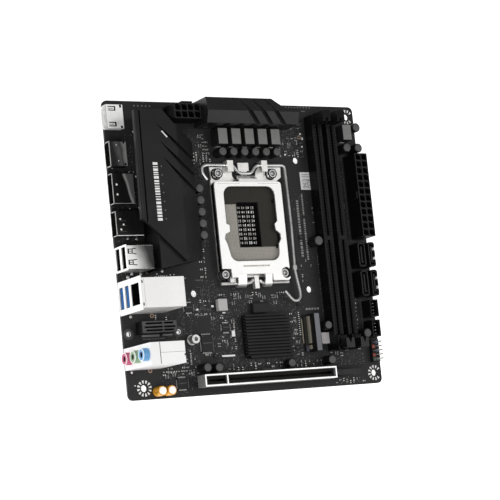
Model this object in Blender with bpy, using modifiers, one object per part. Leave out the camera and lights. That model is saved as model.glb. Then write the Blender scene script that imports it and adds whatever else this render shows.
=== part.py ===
"""Mini-ITX computer motherboard, built as the separate pieces it is assembled from.

Board coordinates are used throughout: millimetres from the circuit board's lower left
corner, X from the rear connectors towards the memory slots, Y towards the processor power
connector and Z up from the component side. An empty at that corner carries every piece. Its
place puts the world's origin under the middle of the whole object, level with the lowest
face of the processor socket's backplate.
"""
import math

import bmesh
import bpy
from mathutils import Matrix, Vector

MM = 0.001
GAP = 0.3                    # clearance between neighbouring pieces

# ---- circuit board -------------------------------------------------------------------
BOARD = 170.18               # a Mini-ITX board is square
BOARD_THICK = 1.6
BOARD_CORNER = 3.0
MOUNT_HOLES = ((10.16, 6.35), (165.10, 6.35), (33.02, 163.83), (165.10, 163.83))
MOUNT_HOLE_R = 1.98
PAD_R = 3.9                  # ring of bare metal around a mounting hole
PAD_PROUD = 0.15
ANTENNA_HOLES = ((3.5, 36.9), (34.8, 37.0))

# ---- processor socket ----------------------------------------------------------------
SOCKET = (86.4, 97.3)        # centre of the socket and of the cooler's hole pattern
COOLER_PITCH = 78.0
COOLER_HOLE_R = 2.0
FRAME_SCREWS = ((68.3, 127.4), (105.1, 127.4), (66.6, 68.0), (106.6, 68.0))
SCREW_SHAFT_R = 1.45
SCREW_HEAD_R = 2.9
SCREW_HOLE_R = 1.9
BACKPLATE_THICK = 2.2
FRAME_TOP = 1.9
PLATE_LOW = 5.3
PLATE_TOP = 6.5
PLATE_AXIS = (62.9, 2.9)     # Y and Z of the load plate's hinge rod
LEVER_AXIS = (132.6, 3.2)    # Y and Z of the lever's torsion rod
LEVER_R = 0.9

# ---- rear connectors -----------------------------------------------------------------
PORT_FRONT = -1.1            # the connectors' faces stand proud of the board's edge
JACK_FRONT = -4.4            # the audio barrels reach furthest

# ---- memory and card slots -----------------------------------------------------------
DIMM_CENTRES = (136.95, 146.95)
DIMM_HALF = 3.3
DIMM_LOW_END = 20.9
DIMM_HIGH_END = 162.8
DIMM_TOP = 9.0
LATCH_AXIS = (25.6, 3.6)     # Y and Z of a memory latch's pivot
LATCH_TOP = 20.5
SLOT_LEFT = 43.0             # card slot's metal shell
SLOT_RIGHT = 131.1
SLOT_Y = 7.7
SLOT_TOP = 11.25
CARD_LATCH_AXIS = (134.2, 3.4)   # X and Z of the card latch's pivot

# ---- heatsinks and power parts -------------------------------------------------------
LEFT_SINK_TOP = 22.0
LEFT_SINK_FOLD = 33.9        # where the flat top turns into the slope
LEFT_SINK_EDGE = (49.1, 11.5)
TOP_SINK_RIDGE = (161.2, 20.0)
CAP_R = 2.7
CAP_TOP = 8.0
CHOKE_SIZE = (6.6, 9.8, 9.0)
POWER_PITCH = 4.2            # pitch of the power connectors' contacts

PALETTE = {
    "solder_mask": ((0.020, 0.020, 0.021), 0.55, 0.0),
    "black_plastic": ((0.016, 0.016, 0.017), 0.50, 0.0),
    "grey_plastic": ((0.20, 0.20, 0.21), 0.50, 0.0),
    "white_plastic": ((0.82, 0.81, 0.80), 0.50, 0.0),
    "nickel": ((0.82, 0.81, 0.79), 0.28, 1.0),
    "black_nickel": ((0.12, 0.12, 0.11), 0.30, 1.0),
    "steel": ((0.62, 0.62, 0.62), 0.35, 1.0),
    "anodised": ((0.045, 0.045, 0.047), 0.45, 0.6),
    "ferrite": ((0.33, 0.32, 0.31), 0.60, 0.0),
    "can_top": ((0.16, 0.16, 0.16), 0.45, 0.4),
    "gold_can": ((0.72, 0.40, 0.05), 0.35, 0.6),
    "contact": ((0.42, 0.39, 0.34), 0.55, 0.3),
    "brass": ((0.70, 0.68, 0.60), 0.35, 1.0),
    "green_base": ((0.20, 0.25, 0.22), 0.55, 0.0),
}


def clear_scene():
    for obj in list(bpy.data.objects):
        bpy.data.objects.remove(obj, do_unlink=True)


def new_collection(name):
    collection = bpy.data.collections.new(name)
    bpy.context.scene.collection.children.link(collection)
    return collection


clear_scene()
PARTS = new_collection("motherboard")
CUTTERS = new_collection("cutters")
BOARD_ORIGIN = bpy.data.objects.new("board_origin", None)
PARTS.objects.link(BOARD_ORIGIN)
BOARD_ORIGIN.location = (-(JACK_FRONT + BOARD) / 2 * MM, -BOARD / 2 * MM,
                         (BOARD_THICK + GAP + BACKPLATE_THICK) * MM)


# ---- building blocks, all in millimetres ---------------------------------------------
def material(name):
    found = bpy.data.materials.get(name)
    if found:
        return found
    colour, roughness, metallic = PALETTE[name]
    made = bpy.data.materials.new(name)
    made.use_nodes = True
    shader = made.node_tree.nodes["Principled BSDF"]
    shader.inputs["Base Color"].default_value = (*colour, 1.0)
    shader.inputs["Roughness"].default_value = roughness
    shader.inputs["Metallic"].default_value = metallic
    made.diffuse_color = (*colour, 1.0)
    return made


def boxes(*corners):
    """A mesh of one box for each (low corner, high corner)."""
    bm = bmesh.new()
    for low, high in corners:
        low = Vector(low)
        high = Vector(high)
        place = Matrix.Translation((low + high) / 2) @ Matrix.Diagonal((*(high - low), 1.0))
        bmesh.ops.create_cube(bm, size=1.0, matrix=place)
    return bm


def rods(*ends, radius, sides=16):
    """A mesh of one cylinder for each (start, end)."""
    bm = bmesh.new()
    for start, end in ends:
        start = Vector(start)
        along = Vector(end) - start
        turn = along.to_track_quat("Z", "Y").to_matrix().to_4x4()
        bmesh.ops.create_cone(bm, cap_ends=True, segments=sides, radius1=radius, radius2=radius,
                              depth=along.length,
                              matrix=Matrix.Translation(start + along / 2) @ turn)
    return bm


def merged(*meshes):
    """One mesh holding the shells of several meshes that don't touch."""
    total = bmesh.new()
    for bm in meshes:
        loose = bpy.data.meshes.new("loose")
        bm.to_mesh(loose)
        bm.free()
        total.from_mesh(loose)
        bpy.data.meshes.remove(loose)
    return total


def from_curve(curve, place):
    """The closed mesh of a curve, moved by a matrix, with its caps welded on."""
    guide = bpy.data.objects.new("guide", curve)
    bpy.context.scene.collection.objects.link(guide)
    depsgraph = bpy.context.evaluated_depsgraph_get()
    mesh = bpy.data.meshes.new_from_object(guide.evaluated_get(depsgraph))
    bm = bmesh.new()
    bm.from_mesh(mesh)
    bmesh.ops.remove_doubles(bm, verts=bm.verts, dist=1e-4)
    bmesh.ops.transform(bm, matrix=place, verts=bm.verts)
    bmesh.ops.recalc_face_normals(bm, faces=bm.faces)
    bpy.data.objects.remove(guide)
    bpy.data.curves.remove(curve)
    bpy.data.meshes.remove(mesh)
    return bm


SECTION_TURN = {
    "XY": Matrix.Identity(4),
    "YZ": Matrix(((0, 0, 1, 0), (1, 0, 0, 0), (0, 1, 0, 0), (0, 0, 0, 1))),
    "XZ": Matrix(((1, 0, 0, 0), (0, 0, -1, 0), (0, 1, 0, 0), (0, 0, 0, 1))),
}
SECTION_NORMAL = {"XY": Vector((0, 0, 1)), "YZ": Vector((1, 0, 0)), "XZ": Vector((0, 1, 0))}


def extrusion(outline, low, high, plane="XY", holes=()):
    """A flat outline in the named plane, with holes, extruded from low to high."""
    curve = bpy.data.curves.new("outline", "CURVE")
    curve.dimensions = "2D"
    curve.fill_mode = "BOTH"
    curve.extrude = (high - low) / 2
    for loop in (outline, *holes):
        spline = curve.splines.new("POLY")
        spline.points.add(len(loop) - 1)
        for point, (u, v) in zip(spline.points, loop):
            point.co = (u, v, 0.0, 1.0)
        spline.use_cyclic_u = True
    shift = Matrix.Translation(SECTION_NORMAL[plane] * (low + high) / 2)
    return from_curve(curve, shift @ SECTION_TURN[plane])


def wire(points, radius):
    """A round wire along a list of points."""
    curve = bpy.data.curves.new("wire", "CURVE")
    curve.dimensions = "3D"
    curve.bevel_depth = radius
    curve.bevel_resolution = 2
    curve.use_fill_caps = True
    spline = curve.splines.new("POLY")
    spline.points.add(len(points) - 1)
    for point, place in zip(spline.points, points):
        point.co = (*place, 1.0)
    return from_curve(curve, Matrix.Identity(4))


def arc(centre, radius, start, end, steps):
    """Points along an arc, from one angle in degrees to another."""
    points = []
    for step in range(steps + 1):
        angle = math.radians(start + (end - start) * step / steps)
        points.append((centre[0] + radius * math.cos(angle),
                       centre[1] + radius * math.sin(angle)))
    return points


def circle(centre, radius, sides=16):
    return arc(centre, radius, 0, 360 - 360 / sides, sides - 1)


def rounded_rectangle(low, high, radius, steps=4):
    points = []
    for x, y, start in ((high[0] - radius, high[1] - radius, 0),
                        (low[0] + radius, high[1] - radius, 90),
                        (low[0] + radius, low[1] + radius, 180),
                        (high[0] - radius, low[1] + radius, 270)):
        points += arc((x, y), radius, start, start + 90, steps)
    return points


def rounded_path(corners, radius, steps=4):
    """A route through corner points, each bend replaced by a smooth curve."""
    corners = [Vector(corner) for corner in corners]
    path = [corners[0]]
    for before, corner, after in zip(corners, corners[1:], corners[2:]):
        into = (before - corner).normalized()
        out = (after - corner).normalized()
        reach = min(radius, (before - corner).length / 2.2, (after - corner).length / 2.2)
        start = corner + into * reach
        end = corner + out * reach
        for step in range(steps + 1):
            t = step / steps
            path.append(start * (1 - t) ** 2 + corner * 2 * t * (1 - t) + end * t ** 2)
    path.append(corners[-1])
    return path


def place_mesh(name, bm, origin, collection):
    """An object whose mesh is bm, with its origin at a point of the board."""
    origin = Vector(origin)
    for vert in bm.verts:
        vert.co = (vert.co - origin) * MM
    mesh = bpy.data.meshes.new(name)
    bm.to_mesh(mesh)
    bm.free()
    obj = bpy.data.objects.new(name, mesh)
    obj.parent = BOARD_ORIGIN
    obj.location = origin * MM
    collection.objects.link(obj)
    return obj


def piece(name, bm, finish, origin, join=(), cut=(), bevel=0.0, smooth=False):
    """One part: a mesh, the meshes joined to it and then the meshes cut from it."""
    obj = place_mesh(name, bm, origin, PARTS)
    obj.data.materials.append(material(finish))
    for operation, tools in (("UNION", join), ("DIFFERENCE", cut)):
        for number, tool in enumerate(tools):
            helper = place_mesh(f"{name}_{operation.lower()}_{number}", tool, origin, CUTTERS)
            helper.hide_render = True
            helper.display_type = "WIRE"
            modifier = obj.modifiers.new(helper.name, "BOOLEAN")
            modifier.operation = operation
            modifier.solver = "EXACT"
            modifier.object = helper
    if bevel:
        modifier = obj.modifiers.new("rounded_edges", "BEVEL")
        modifier.width = bevel * MM
        modifier.segments = 2
        modifier.limit_method = "ANGLE"
    if smooth:
        obj.data.shade_smooth()
        obj.data.set_sharp_from_angle(angle=math.radians(40))
    return obj


# ---- circuit board -------------------------------------------------------------------
def cooler_holes():
    half = COOLER_PITCH / 2
    return [(SOCKET[0] + sx * half, SOCKET[1] + sy * half)
            for sx in (-1, 1) for sy in (-1, 1)]


def contact_rings(centres, outer, low, high):
    """Flat rings around holes, a little wider inside than the hole."""
    return merged(*(extrusion(circle(centre, outer), low, high,
                              holes=(circle(centre, MOUNT_HOLE_R + GAP),))
                    for centre in centres))


def make_board():
    holes = [circle(centre, MOUNT_HOLE_R) for centre in MOUNT_HOLES]
    holes += [circle(centre, COOLER_HOLE_R) for centre in cooler_holes()]
    holes += [circle(centre, SCREW_HOLE_R, 10) for centre in FRAME_SCREWS]
    holes += [circle(centre, 1.2, 8) for centre in ANTENNA_HOLES]
    outline = rounded_rectangle((0, 0), (BOARD, BOARD), BOARD_CORNER)
    top_rings = contact_rings([*MOUNT_HOLES, *cooler_holes()], PAD_R, -0.2, PAD_PROUD)
    low_rings = contact_rings(MOUNT_HOLES, PAD_R, -BOARD_THICK - PAD_PROUD, -BOARD_THICK + 0.2)
    piece("circuit_board", extrusion(outline, -BOARD_THICK, 0, holes=holes), "solder_mask",
          (0, 0, 0), join=(merged(top_rings, low_rings),))


# ---- processor socket ----------------------------------------------------------------
def make_backplate():
    """Steel plate under the board that the socket's four screws pull against."""
    top = -BOARD_THICK - GAP
    cx, cy = SOCKET
    outline = [(cx - 28, cy - 31), (cx - 21, cy - 38), (cx + 21, cy - 38), (cx + 28, cy - 31),
               (cx + 28, cy + 29), (cx + 21, cy + 36), (cx - 21, cy + 36), (cx - 28, cy + 29)]
    window = rounded_rectangle((cx - 14, cy - 18), (cx + 14, cy + 18), 3, 3)
    holes = [window] + [circle(centre, SCREW_HOLE_R, 12) for centre in FRAME_SCREWS]
    piece("socket_backplate", extrusion(outline, top - BACKPLATE_THICK, top, holes=holes),
          "steel", (cx, cy, top - BACKPLATE_THICK))


def make_socket():
    """Moulded housing with a well for the processor, and the contact field in it."""
    cx, cy = SOCKET
    well = (18.7, 22.7)
    window = (7.0, 13.0)
    housing = boxes(((cx - 20.9, cy - 24.7, GAP), (cx + 20.9, cy + 24.7, 4.6)))
    recess = boxes(((cx - well[0], cy - well[1], 2.6), (cx + well[0], cy + well[1], 5)))
    centre = boxes(((cx - window[0], cy - window[1], 0), (cx + window[0], cy + window[1], 3)))
    piece("socket_housing", housing, "black_plastic", (cx, cy, GAP), cut=(recess, centre))
    field = rounded_rectangle((cx - well[0] + GAP, cy - well[1] + GAP),
                              (cx + well[0] - GAP, cy + well[1] - GAP), 1, 2)
    opening = rounded_rectangle((cx - window[0] - GAP, cy - window[1] - GAP),
                                (cx + window[0] + GAP, cy + window[1] + GAP), 0.5, 1)
    piece("socket_contacts", extrusion(field, 2.9, 3.4, holes=(opening,)), "contact",
          (cx, cy, 2.9))


def make_frame():
    """Stamped frame screwed over the housing: it carries the hinge rod and the lever."""
    low = 0.5
    ear = SCREW_HEAD_R + 0.3
    outline = arc(FRAME_SCREWS[2], ear, 180, 270, 3)
    outline += [(69.4, 66.3), (102.8, 66.5)]
    outline += arc(FRAME_SCREWS[3], ear, 270, 360, 3)
    outline += [(108.7, 71.0), (108.8, 123.2), (112.3, 125.6), (112.8, 131.9), (97.2, 131.7),
                (95.3, 129.0), (94.4, 124.5), (89.3, 124.3), (89.2, 129.3), (90.9, 129.5),
                (90.8, 134.4), (83.5, 134.3), (83.6, 129.4), (85.3, 129.2), (85.4, 124.4),
                (80.2, 124.6), (79.0, 126.4), (79.3, 131.8), (64.3, 131.6), (64.8, 125.2),
                (64.2, 123.2), (64.1, 70.9)]
    window = rounded_rectangle((65.1, 71.9), (107.7, 122.5), 1, 2)
    screw_holes = [circle(centre, SCREW_HOLE_R, 12) for centre in FRAME_SCREWS]
    base = extrusion(outline, low, FRAME_TOP, holes=(window, *screw_holes))
    y, z = PLATE_AXIS
    lugs = boxes(((70.0, y, low), (73.8, 67.2, z + 0.7)),
                 ((86.2, 59.6, low), (89.1, 67.2, z + 0.7)),
                 ((99.2, y, low), (103.2, 67.2, z + 0.7)))
    left_rod = wire([(64.0, y, z), (81.6, y, z), (83.6, y + 0.4, z), (85.4, y + 1.8, z)], 1.0)
    right_rod = wire([(109.6, y, z), (91.9, y, z), (90.8, y + 0.5, z), (90.0, y + 1.6, z)], 1.0)
    ly, lz = LEVER_AXIS
    bearings = boxes(((74.4, 128.4, low), (78.4, ly + 2.4, 5.7)),
                     ((97.6, 128.4, low), (101.6, ly + 2.4, 5.7)))
    bore = rods(((70, ly, lz), (105, ly, lz)), radius=LEVER_R + 0.4, sides=16)
    piece("socket_frame", base, "nickel", (*SOCKET, low), join=(lugs, left_rod, right_rod, bearings),
          cut=(bore,))


def make_frame_screws():
    for number, (x, y) in enumerate(FRAME_SCREWS, 1):
        low = FRAME_TOP + GAP
        head = rods(((x, y, low), (x, y, low + 2.7)), radius=SCREW_HEAD_R, sides=20)
        shaft = rods(((x, y, -3.8), (x, y, low + 1)), radius=SCREW_SHAFT_R, sides=12)
        socket = rods(((x, y, low + 1.2), (x, y, low + 4)), radius=1.4, sides=6)
        piece(f"frame_screw_{number}", head, "steel", (x, y, low), join=(shaft,),
              cut=(socket,), smooth=True)


def load_plate_window():
    """Opening over the processor, with an alcove half way along each side."""
    low = (69.4, 75.3)
    high = (104.0, 119.4)
    points = arc((high[0] - 5, high[1] - 5), 5, 0, 90, 4)
    points += arc((low[0] + 5, high[1] - 5), 5, 90, 180, 4)
    points += [(low[0], 97.4), (low[0] + 1.9, 96.6), (low[0] + 1.9, 92.8), (low[0] - 1.2, 91.4),
               (low[0] - 2.0, 88.6), (low[0] - 0.6, 85.4)]
    points += arc((low[0] + 5.6, low[1] + 5), 5, 180, 270, 4)
    points += arc((high[0] - 5.6, low[1] + 5), 5, 270, 360, 4)
    points += [(high[0] - 0.4, 85.2), (high[0] + 1.4, 88.0), (high[0] + 1.2, 91.2),
               (high[0] - 1.6, 93.4), (high[0] - 2.0, 97.0), (high[0], 98.6)]
    return points


def make_load_plate():
    """Hinged plate that presses on the processor's edges."""
    right = 109.0
    outline = [(63.8, 71.2), (69.7, 71.0), (69.9, 66.0), (74.4, 65.9), (74.6, 67.9),
               (97.2, 67.6), (97.4, 63.7), (right - 1.2, 63.5), (right, 64.7)]
    outline += arc((right - 2, 120.2), 2, 0, 90, 3)
    outline += arc((65.8, 120.2), 2, 90, 180, 3)
    plate = extrusion(outline, PLATE_LOW, PLATE_TOP, holes=(load_plate_window(),))
    y, z = PLATE_AXIS
    hook = [(71.0, PLATE_TOP - 0.1), (66.6, PLATE_TOP - 0.3)]
    hook += arc((y, z), 2.6, 90, 245, 7)
    hook += arc((y, z), 1.5, 245, 90, 6)
    hook += [(66.4, 4.9), (71.0, PLATE_LOW + 0.1)]
    hooks = merged(extrusion(hook, 74.3, 79.9, "YZ"), extrusion(hook, 92.4, 97.0, "YZ"))
    tongue = [(121.0, PLATE_TOP - 0.1), (124.0, PLATE_TOP - 0.3), (125.4, 4.4), (126.2, 3.9),
              (126.2, 2.8), (124.8, 3.4), (123.4, 5.2), (121.0, PLATE_LOW + 0.1)]
    lip = extrusion(tongue, 81.0, 93.2, "YZ")
    x, screw_y = FRAME_SCREWS[3]
    relief = rods(((x, screw_y, 4), (x, screw_y, 8)), radius=SCREW_HEAD_R + 0.4, sides=20)
    piece("load_plate", plate, "nickel", (SOCKET[0], y, z), join=(hooks, lip), cut=(relief,))


def make_load_lever():
    """Wire lever: torsion rod with a crank over the load plate's tongue, arm and grip."""
    y, z = LEVER_AXIS
    corners = [(61.4, 123.8, z), (58.6, 127.6, z), (58.4, 131.0, z), (61.0, y, z),
               (79.6, y, z), (83.0, y - 5, z), (91.4, y - 5, z), (95.0, y, z),
               (114.8, y, z), (115.2, 96.5, z), (114.3, 69.4, z + 0.3), (116.1, 56.4, z + 0.8),
               (115.9, 53.4, z + 0.9), (114.1, 51.5, z + 0.9), (111.5, 51.3, z + 0.9),
               (109.3, 53.1, z + 0.9), (105.7, 57.4, z + 0.9)]
    arm = wire(rounded_path(corners, 2.3), LEVER_R)
    collar = rods(((114.4, 72.4, z + 0.27), (114.33, 69.8, z + 0.3)), radius=1.5, sides=12)
    piece("load_lever", arm, "nickel", (SOCKET[0], y, z), join=(collar,), smooth=True)


# ---- heatsinks -----------------------------------------------------------------------
def slanted_slot(start, end, width, profile):
    """A narrow cutter along a line of the board: profile is (distance, height) points."""
    start = Vector((*start, 0))
    along = Vector((*end, 0)) - start
    bm = extrusion(profile, -width / 2, width / 2, "XZ")
    turn = Matrix.Rotation(math.atan2(along.y, along.x), 4, "Z")
    bmesh.ops.transform(bm, matrix=Matrix.Translation(start) @ turn, verts=bm.verts)
    return bm


def make_left_heatsink():
    """Finned extrusion beside the rear connectors, under a cover with cut corners."""
    top = LEFT_SINK_TOP
    fold = LEFT_SINK_FOLD
    edge_x, edge_z = LEFT_SINK_EDGE
    shelf = 19.4
    ends = [(18.0, 70.4), (edge_x, 76.6), (edge_x, 144.4), (32.6, 152.6), (25.4, 161.0)]
    fins = extrusion([*ends, (18.0, 160.4)], 2.0, shelf + 0.3)
    cover_outline = [(7.3, 98.0), (10.6, 96.3), (33.2, 74.0), *ends[1:], (8.4, 159.7)]
    cover = extrusion(cover_outline, shelf, top)
    slope = extrusion([(fold, top), (edge_x, edge_z), (60, edge_z), (60, 30), (fold, 30)],
                      60, 170, "XZ")
    valleys = boxes(((18.9, 60, 5), (21.6, 172, shelf - 0.4)),
                    ((23.8, 60, 5), (27.2, 172, shelf - 0.4)),
                    ((30.4, 60, 5), (32.6, 172, shelf - 0.4)))
    trim = slanted_slot((10.6, 90), (11.6, 165), 0.9, [(0, top - 1.4), (76, top - 1.4),
                                                       (76, top + 4), (0, top + 4)])
    depth = 2.2
    width = 2.5
    wedges = []
    slots = []
    for start, bend, end in (((20.4, 153.6), (fold, 140.1), (50.4, 132.3)),
                             ((22.4, 143.0), (fold, 131.0), (50.4, 123.3)),
                             ((23.8, 133.5), (fold, 122.4), (50.4, 114.1))):
        wedges.append(extrusion([start, (bend[0], bend[1] - width / 2 - 0.3),
                                 (bend[0], bend[1] + width / 2 + 0.3)], top - depth, top + 4))
        length = math.dist(bend, end)
        slots.append(slanted_slot(bend, end, width, [
            (-0.6, top - depth), (0, top - depth), (length, edge_z - depth), (length, 30),
            (-0.6, 30)]))
    x, y = cooler_holes()[1]
    relief = rods(((x, y, 0), (x, y, 9.5)), radius=4.5, sides=20)
    piece("vrm_heatsink_left", fins, "anodised", (18.0, 70.4, 2.0), join=(cover,),
          cut=(slope, valleys, trim, merged(*wedges), merged(*slots), relief))


def make_top_heatsink():
    """Ridged heatsink along the board's upper edge, with one cut corner."""
    ridge_y, ridge_z = TOP_SINK_RIDGE
    profile = [(154.4, 2.0), (169.4, 2.0), (169.4, 17.9), (ridge_y, ridge_z), (154.4, 17.4)]
    body = extrusion(profile, 57.2, 118.6, "YZ")
    corner = extrusion([(101.0, 172), (101.0, 169.6), (109.6, 163.3), (125, 163.3), (125, 172)],
                       0, 30)
    grooves = []
    for start, end in (((78.0, 169.6), (91.8, 153.6)), ((86.9, 169.6), (100.7, 153.6)),
                       ((95.6, 169.6), (109.6, 153.6))):
        length = math.dist(start, end)
        bend = length * (start[1] - ridge_y) / (start[1] - end[1])
        grooves.append(slanted_slot(start, end, 2.5, [
            (1.2, 16.6), (bend, ridge_z - 2.2), (length + 1, 14.8), (length + 1, 30), (1.2, 30)]))
    valleys = boxes(*(((x, 150, 5), (x + 3.4, 175, 14.6)) for x in range(61, 98, 9)))
    piece("vrm_heatsink_top", body, "anodised", (57.2, 154.4, 2.0),
          cut=(corner, merged(*grooves), valleys))


def make_chipset_heatsink():
    """Low finned block over the chipset."""
    low = (76.2, 19.3)
    high = (106.8, 44.1)
    outline = [low[0:1] + (21.4,), (78.2, low[1]), (high[0], low[1]), (high[0], 41.9),
               (104.4, high[1]), (low[0], high[1])]
    fins = 13
    pitch = (high[1] - low[1]) / (fins + 0.6)
    grooves = boxes(*(((low[0] - 1, low[1] + pitch * (row + 0.7), 2.6),
                       (high[0] + 1, low[1] + pitch * (row + 0.7) + 0.8, 7))
                      for row in range(fins)))
    piece("chipset_heatsink", extrusion(outline, GAP, 5.4), "anodised", (*low, GAP),
          cut=(grooves,))


# ---- power parts ---------------------------------------------------------------------
def make_chokes():
    width, depth, height = CHOKE_SIZE
    places = [(71.45 + 8.95 * number, 148.7) for number in range(5)]
    for number, (x, y) in enumerate([*places, (158.5, 152.2)], 1):
        body = boxes(((x - width / 2, y - depth / 2, GAP), (x + width / 2, y + depth / 2, height)))
        piece(f"choke_{number}", body, "ferrite", (x, y, GAP), bevel=0.45)


def make_capacitor(name, x, y, radius, top, finish):
    """Aluminium can, crimped to a slight waist above its base."""
    profile = ((GAP, radius), (1.5, radius), (2.1, radius - 0.3), (2.7, radius),
               (top - 0.4, radius), (top, radius - 0.35))
    mesh = bmesh.new()
    rings = []
    sides = 16
    for height, ring_radius in profile:
        rings.append([mesh.verts.new((px, py, height))
                      for px, py in circle((x, y), ring_radius, sides)])
    for lower, upper in zip(rings, rings[1:]):
        bmesh.ops.bridge_loops(mesh, edges=[
            mesh.edges.get((ring[side], ring[side - 1])) or
            mesh.edges.new((ring[side], ring[side - 1]))
            for ring in (lower, upper) for side in range(sides)])
    mesh.faces.new(rings[-1])
    mesh.faces.new(reversed(rings[0]))
    bmesh.ops.recalc_face_normals(mesh, faces=mesh.faces)
    piece(name, mesh, finish, (x, y, GAP), smooth=True)


def make_capacitors():
    for number in range(6):
        make_capacitor(f"capacitor_{number + 1}", 71.1 + 7.37 * number, 139.8, CAP_R, CAP_TOP,
                       "can_top")
    others = ((165.6, 155.3, 2.8, 9.2), (165.5, 142.6, 2.8, 9.2), (157.2, 142.7, 2.8, 9.2),
              (130.0, 86.1, 3.0, 8.8), (130.5, 35.7, 2.6, 8.8))
    for number, (x, y, radius, top) in enumerate(others, 7):
        make_capacitor(f"capacitor_{number}", x, y, radius, top, "can_top")
    for number, x in enumerate((17.7, 23.7), 1):
        make_capacitor(f"audio_capacitor_{number}", x, 4.05, 2.8, 7.6, "gold_can")


def power_connector(name, low, columns, rows, latch):
    """Upright shrouded power connector: one square cavity for each contact."""
    cavity = 3.3
    wall = 0.7
    high = (low[0] + (columns - 1) * POWER_PITCH + cavity + 2 * wall,
            low[1] + (rows - 1) * POWER_PITCH + cavity + 2 * wall, 13.0)
    body = boxes(((*low, GAP), high))
    cavities = []
    for column in range(columns):
        for row in range(rows):
            x = low[0] + wall + column * POWER_PITCH
            y = low[1] + wall + row * POWER_PITCH
            cavities.append(((x, y, 4.0), (x + cavity, y + cavity, 14)))
    piece(name, body, "black_plastic", (*low, GAP), join=(boxes(latch),),
          cut=(boxes(*cavities),))


def make_power_connectors():
    power_connector("power_connector_24pin", (159.3, 87.5), 2, 12,
                    ((158.1, 110.8, 6.0), (159.8, 115.0, 12.2)))
    power_connector("power_connector_8pin", (39.0, 157.7), 4, 2,
                    ((44.6, 166.0, 6.0), (51.4, 168.0, 12.2)))


# ---- memory and card slots -----------------------------------------------------------
def make_memory_slot(letter, x):
    """Memory slot: a fixed tower at the upper end, a fork for its latch at the lower."""
    y, z = LATCH_AXIS
    half = DIMM_HALF
    body = boxes(((x - half, 28.4, GAP), (x + half, 157.0, DIMM_TOP)))
    tower = boxes(((x - half + 0.1, 156.0, GAP + 0.1), (x + half - 0.1, 162.6, DIMM_TOP + 0.6)))
    column = boxes(((x - 2.6, 156.2, 1.0), (x + 2.6, DIMM_HIGH_END, 21.0)))
    fork = boxes(((x - half + 0.1, DIMM_LOW_END, GAP + 0.1), (x - half + 1.3, 29.0, 12.4)),
                 ((x + half - 1.3, DIMM_LOW_END, GAP + 0.1), (x + half - 0.1, 29.0, 12.4)))
    groove = boxes(((x - 0.75, 27.0, 4.0), (x + 0.75, 86.6, 25)),
                   ((x - 0.75, 88.8, 4.0), (x + 0.75, 158.6, 25)))
    pivots = rods(((x - 5, y, z), (x + 5, y, z)), radius=1.1, sides=12)
    piece(f"memory_slot_{letter}", body, "black_plastic", (x, 28.4, GAP),
          join=(tower, column, fork), cut=(groove, pivots))
    shank = [(24.2, 1.2), (26.8, 1.2), (27.6, 3.0), (27.6, 10.6), (29.6, 11.0), (28.6, 12.6),
             (26.6, 13.4), (26.6, LATCH_TOP), (20.8, LATCH_TOP), (20.8, 16.6), (23.4, 12.6),
             (23.4, 3.0)]
    blade = extrusion(shank, x - 1.5, x + 1.5, "YZ")
    head = boxes(((x - 2.8, 20.9, 15.4), (x + 2.8, 26.5, LATCH_TOP - 0.1)))
    pin = rods(((x - 2.9, y, z), (x + 2.9, y, z)), radius=0.8, sides=12)
    notch = extrusion([(x - 1.5, 27.4), (x, 23.0), (x + 1.5, 27.4)], 17.0, 22.0)
    piece(f"memory_latch_{letter}", blade, "black_plastic", (x, y, z), join=(head, pin),
          cut=(notch,))


def make_card_slot():
    """Card slot: moulded core, metal shell round it, and the latch at its right end."""
    y = SLOT_Y
    left, right = SLOT_LEFT, SLOT_RIGHT
    core = boxes(((left + 1.4, y - 2.0, GAP), (right - 1.4, y + 2.0, 9.7)))
    foot = boxes(((left + 2, y - 3.0, GAP + 0.1), (138.0, y + 3.0, 1.9)))
    cheeks = boxes(((131.7, y - 2.9, GAP + 0.2), (137.6, y - 1.9, 6.2)),
                   ((131.7, y + 1.9, GAP + 0.2), (137.6, y + 2.9, 6.2)))
    grooves = boxes(((left + 3.0, y - 0.9, 3.0), (56.4, y + 0.9, 12)),
                    ((58.6, y - 0.9, 3.0), (right - 2.6, y + 0.9, 12)))
    x, z = CARD_LATCH_AXIS
    pivots = rods(((x, y - 5, z), (x, y + 5, z)), radius=1.1, sides=12)
    piece("card_slot", core, "black_plastic", (left, y, GAP), join=(foot, cheeks),
          cut=(grooves, pivots))
    shell = extrusion([(left, y - 3.4), (right, y - 3.4), (right, y + 3.4), (left, y + 3.4)],
                      2.2, SLOT_TOP, holes=([(left + 1.1, y - 2.3), (right - 1.1, y - 2.3),
                                             (right - 1.1, y + 2.3), (left + 1.1, y + 2.3)],))
    bridge = boxes(((56.9, y - 2.6, 10.1), (58.1, y + 2.6, SLOT_TOP - 0.05)))
    piece("card_slot_shell", shell, "nickel", (left, y, 2.2), join=(bridge,))
    outline = [(132.0, 2.5), (135.6, 2.5), (138.0, 3.5), (150.4, 5.2), (151.6, 5.6),
               (151.4, 6.5), (138.6, 5.9), (135.8, 6.4), (135.0, 9.6), (131.6, 10.2),
               (131.6, 9.2), (132.2, 8.8)]
    blade = extrusion(outline, y - 1.5, y + 1.5, "XZ")
    pin = rods(((x, y - 2.5, z), (x, y + 2.5, z)), radius=0.8, sides=12)
    piece("card_latch", blade, "black_plastic", (x, y, z), join=(pin,))


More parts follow.
